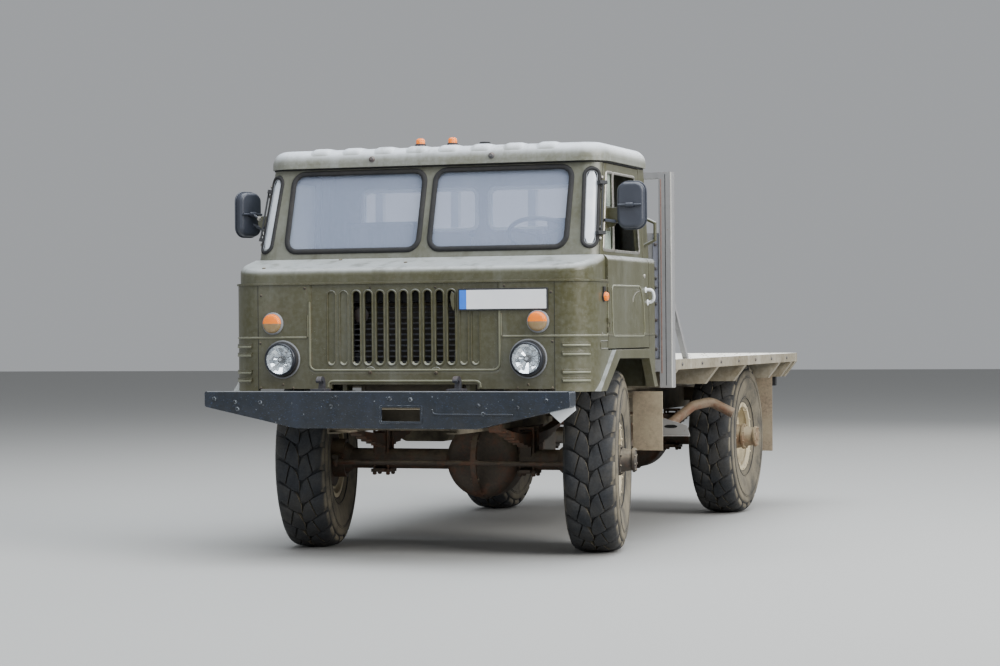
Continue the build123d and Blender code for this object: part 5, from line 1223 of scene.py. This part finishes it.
def cushion(name, centre, size, tilt):
    """A cushion with seams sewn across it and pulled in along its rim."""
    mesh = bpy.data.meshes.new(name)
    work = bmesh.new()
    bmesh.ops.create_cube(work, size=1.0)
    bmesh.ops.scale(work, vec=size, verts=work.verts)
    radius = min(size) * 0.32
    bmesh.ops.bevel(work, geom=work.edges[:], offset=radius, segments=4, profile=0.5, affect="EDGES")
    work.to_mesh(mesh)
    work.free()
    obj = bpy.data.objects.new(name, mesh)
    scene.collection.objects.link(obj)
    voxels = obj.modifiers.new("voxels", "REMESH")
    voxels.mode = "VOXEL"
    voxels.voxel_size = CUSHION_VOXEL
    solid = bpy.data.meshes.new_from_object(shaped(obj))
    obj.modifiers.clear()
    obj.data = solid
    cloth = obj.modifiers.new("cloth", "CLOTH")
    cloth.settings.quality = 5
    cloth.settings.use_pressure = True
    cloth.settings.uniform_pressure_force = 4.0
    cloth.settings.effector_weights.gravity = 0.0
    cloth.point_cache.frame_end = CUSHION_FRAMES
    for number in range(1, CUSHION_FRAMES + 1):
        scene.frame_set(number)
    steps = [b.co - a.co for a, b in zip(solid.vertices, shaped(obj).to_mesh().vertices)]
    obj.modifiers.clear()
    scene.frame_set(1)
    for v, step in zip(solid.vertices, steps):
        v.co += step * min(1.0, CUSHION_CAP / max(step.length, 1e-6))
    wide, deep, tall = size
    for v in solid.vertices:
        seams_at = [(n + 1) / (CUSHION_SEAMS + 1) * wide - wide / 2 for n in range(CUSHION_SEAMS)]
        groove = sum(exp(-((v.co.x - at) / SEAM_WIDE) ** 2) for at in seams_at)
        rim = exp(-((max(abs(v.co.x) / wide, abs(v.co.y) / deep) - 0.43) / RIM_WIDE) ** 2)
        v.co.z -= max(0.0, v.normal.z) * (0.008 * groove + 0.006 * rim)
    solid.transform(Matrix.Translation(centre) @ Matrix.Rotation(tilt, 4, "X"))
    solid.shade_smooth()
    solid.materials.clear()
    solid.materials.append(LOOKS["vinyl"])
    return obj


seat_mid = sum(SEAT_X) / 2
seat_wide = SEAT_X[1] - SEAT_X[0] - 0.036
for kind, y, z, deep, tall, tilt in (
    ("cushion", 0.148, 1.494, 0.455, 0.098, -2.4), ("back", 0.452, 1.8, 0.45, 0.07, 83),
):
    first = cushion(f"seat_{kind}_left", (seat_mid, AXLE_F + y, z), (seat_wide, deep, tall), radians(tilt))
    second = bpy.data.objects.new(f"seat_{kind}_right", first.data.copy())
    second.data.transform(Matrix.Diagonal((-1, 1, 1, 1)))
    second.data.flip_normals()
    scene.collection.objects.link(second)
    for pad in (first, second):
        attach(pad, "cab")
        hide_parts("seats")
frames = Gathered("seat_frames", "black", "cab", bevel=0.004, replaces=["seats"])
frames.twins((SEAT_X[0] + 0.05, SEAT_X[1] - 0.05), (AXLE_F - 0.04, AXLE_F + 0.4), (1.195, 1.425))
rail = (SEAT_X[0] + 0.02, SEAT_X[1] - 0.02)
frames.twins(rail, (AXLE_F - 0.08, AXLE_F + 0.4), (1.425, 1.445))
for side in (1, -1):
    frames.hexa([
        (side * rail[i], AXLE_F + y + shift, z) for y, z in ((0.455, 1.432), (0.52, 2.02))
        for i, shift in ((0, 0), (1, 0), (1, 0.012), (0, 0.012))
    ])

# Tail lamps: a body each, a red lens inward and an amber one outward
low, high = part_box("tail_lamps")
TAIL_LAMP_WIDE = 0.11
LENS_DEEP = 0.012
LENS_RIM = 0.005
lamp_x = high.x - TAIL_LAMP_WIDE
split_x = lamp_x + TAIL_LAMP_WIDE * 2 / 3
tail = Gathered("tail_lamp_bodies", "black", "chassis", bevel=0.003, replaces=["tail_lamps"])
tail.twins((lamp_x, high.x), (low.y, high.y - LENS_DEEP), (low.z, high.z))
tail_red = Gathered("tail_lamp_lenses", "red", "chassis", "lamp_red", bevel=0.003)
tail_amber = Gathered("tail_lamp_turns", "amber", "chassis", "lamp_amber", bevel=0.003)
for side, near, far in ((1, 0.004, 0.002), (-1, 0.002, 0.004)):
    for piece, start, end in (
        (tail_red, lamp_x + near, split_x - far), (tail_amber, split_x + far, high.x - near),
    ):
        foot = (side * start, high.y - LENS_DEEP, low.z + LENS_RIM)
        piece.box(foot, (side * end, high.y, high.z - LENS_RIM))

# The headboard's pale edges, with a rust line and a seam, painted dark as the shade in it, along each of its
# posts
POST_OUT = bed_high.x - 0.002
for name, look, slot, bevel, xs, ys, zs in (
    ("edges", "chalk_dull", "board_paint", 0.0005, (-0.005, 0.0008), (-0.0008, 0.004), (0.962, 2.296)),
    ("rust", "rust_line", None, 0.0, (-0.07, -0.062), (-0.0006, 0.003), (1.05, 2.255)),
    ("seams", "dark", None, 0.0, (-0.04, -0.036), (-0.0005, 0.003), (0.975, 2.285)),
):
    line = Gathered(f"headboard_{name}", look, "chassis", slot, bevel)
    line.twins([POST_OUT + x for x in xs], [BOARD_FRONT + y for y in ys], zs)

# A gusset out from the left rail beside the exhaust, with a folded foot and an oblong hole, drawn as a black
# plate of painted shade
GUSSET_Y = -0.3
arm = Gathered("exhaust_gusset_arm", "chassis", "chassis", bevel=0.002)
arm.hexa([
    (x, GUSSET_Y + y, z + rise) for rise in (0, 0.045)
    for x, y, z in ((0.41, 0.005, 0.8), (0.99, 0.005, 0.66), (0.99, 0.045, 0.66), (0.41, 0.045, 0.8))
])
gusset = Gathered("exhaust_gusset", "board", "chassis", bevel=0.002)
outline = ((0.94, 0.64), (1.137, 0.64), (1.118, 0.704), (0.972, 0.748), (0.94, 0.748))
gusset.prism(upright(outline, GUSSET_Y), (0, 0.005, 0))
gusset.box((0.951, GUSSET_Y - 0.03, 0.634), (1.137, GUSSET_Y + 0.005, 0.64))
hole = Gathered("exhaust_gusset_hole", "dark", "chassis", bevel=0.0005)
outline = [
    (1.01 + 0.034 * cos(a) + (0.01 if cos(a) > 0 else -0.01), 0.697 + 0.011 * sin(a)) for a in turns(16)
]
hole.prism(upright(outline, GUSSET_Y - 0.0006), (0, 0.0012, 0))

for piece in Gathered.pieces:
    piece.make()

# Stage: a pale floor, soft light and the camera where the photograph was taken from
CAMERA_AT = (5.1942, -15.6944, 1.3322)
CAMERA_YAW = radians(19.14)
CAMERA_PITCH = radians(-0.09)
CAMERA_ROLL = radians(-0.47)
FLOOR_HALF = 60.0
LIT_POINT = Vector((0, 0, 1.1))
level = Vector((cos(CAMERA_YAW), sin(CAMERA_YAW), 0))
forward = Vector((-sin(CAMERA_YAW), cos(CAMERA_YAW), 0)) * cos(CAMERA_PITCH) + UP * sin(CAMERA_PITCH)
overhead = level.cross(forward)
right = cos(CAMERA_ROLL) * level + sin(CAMERA_ROLL) * overhead
up = cos(CAMERA_ROLL) * overhead - sin(CAMERA_ROLL) * level
camera_data = bpy.data.cameras.new("camera")
camera_data.lens = 88.99
camera_data.sensor_width = 36.0
camera_data.clip_end = 200.0
camera = bpy.data.objects.new("camera", camera_data)
camera.matrix_world = Matrix.Translation(CAMERA_AT) @ Matrix((right, up, -forward)).transposed().to_4x4()
scene.collection.objects.link(camera)
scene.camera = camera

floor_mesh = bpy.data.meshes.new("floor")
corners = [(x * FLOOR_HALF, y * FLOOR_HALF, 0) for x, y in ((-1, -1), (1, -1), (1, 1), (-1, 1))]
floor_mesh.from_pydata(corners, [], [(0, 1, 2, 3)])
floor = bpy.data.objects.new("floor", floor_mesh)
floor_look = Graph("floor")
floor_look.set(Base_Color=(0.36, 0.36, 0.35, 1.0), Roughness=0.9)
floor_mesh.materials.append(floor_look.material)
scene.collection.objects.link(floor)

world = bpy.data.worlds.new("studio")
world.use_nodes = True
world.node_tree.nodes["Background"].inputs[0].default_value = (0.93, 0.96, 1.0, 1.0)
world.node_tree.nodes["Background"].inputs[1].default_value = 0.42
scene.world = world
for word, at, size, power, tint in (
    ("sky", (2.0, -2.0, 13.0), 14.0, 4300.0, (0.90, 0.95, 1.0)),
    ("key", (14.0, -6.0, 8.0), 8.0, 2750.0, (1.0, 0.98, 0.95)),
    ("fill", (-6.0, -15.0, 6.0), 9.0, 330.0, (0.93, 0.96, 1.0)),
    ("back", (3.0, 13.0, 9.0), 9.0, 700.0, (1.0, 1.0, 1.0)),
):
    lamp_data = bpy.data.lights.new(word, "AREA")
    lamp_data.size = size
    lamp_data.energy = power
    lamp_data.color = tint
    lamp = bpy.data.objects.new(word, lamp_data)
    lamp.location = at
    lamp.rotation_euler = (LIT_POINT - Vector(at)).to_track_quat("-Z", "Y").to_euler()
    scene.collection.objects.link(lamp)
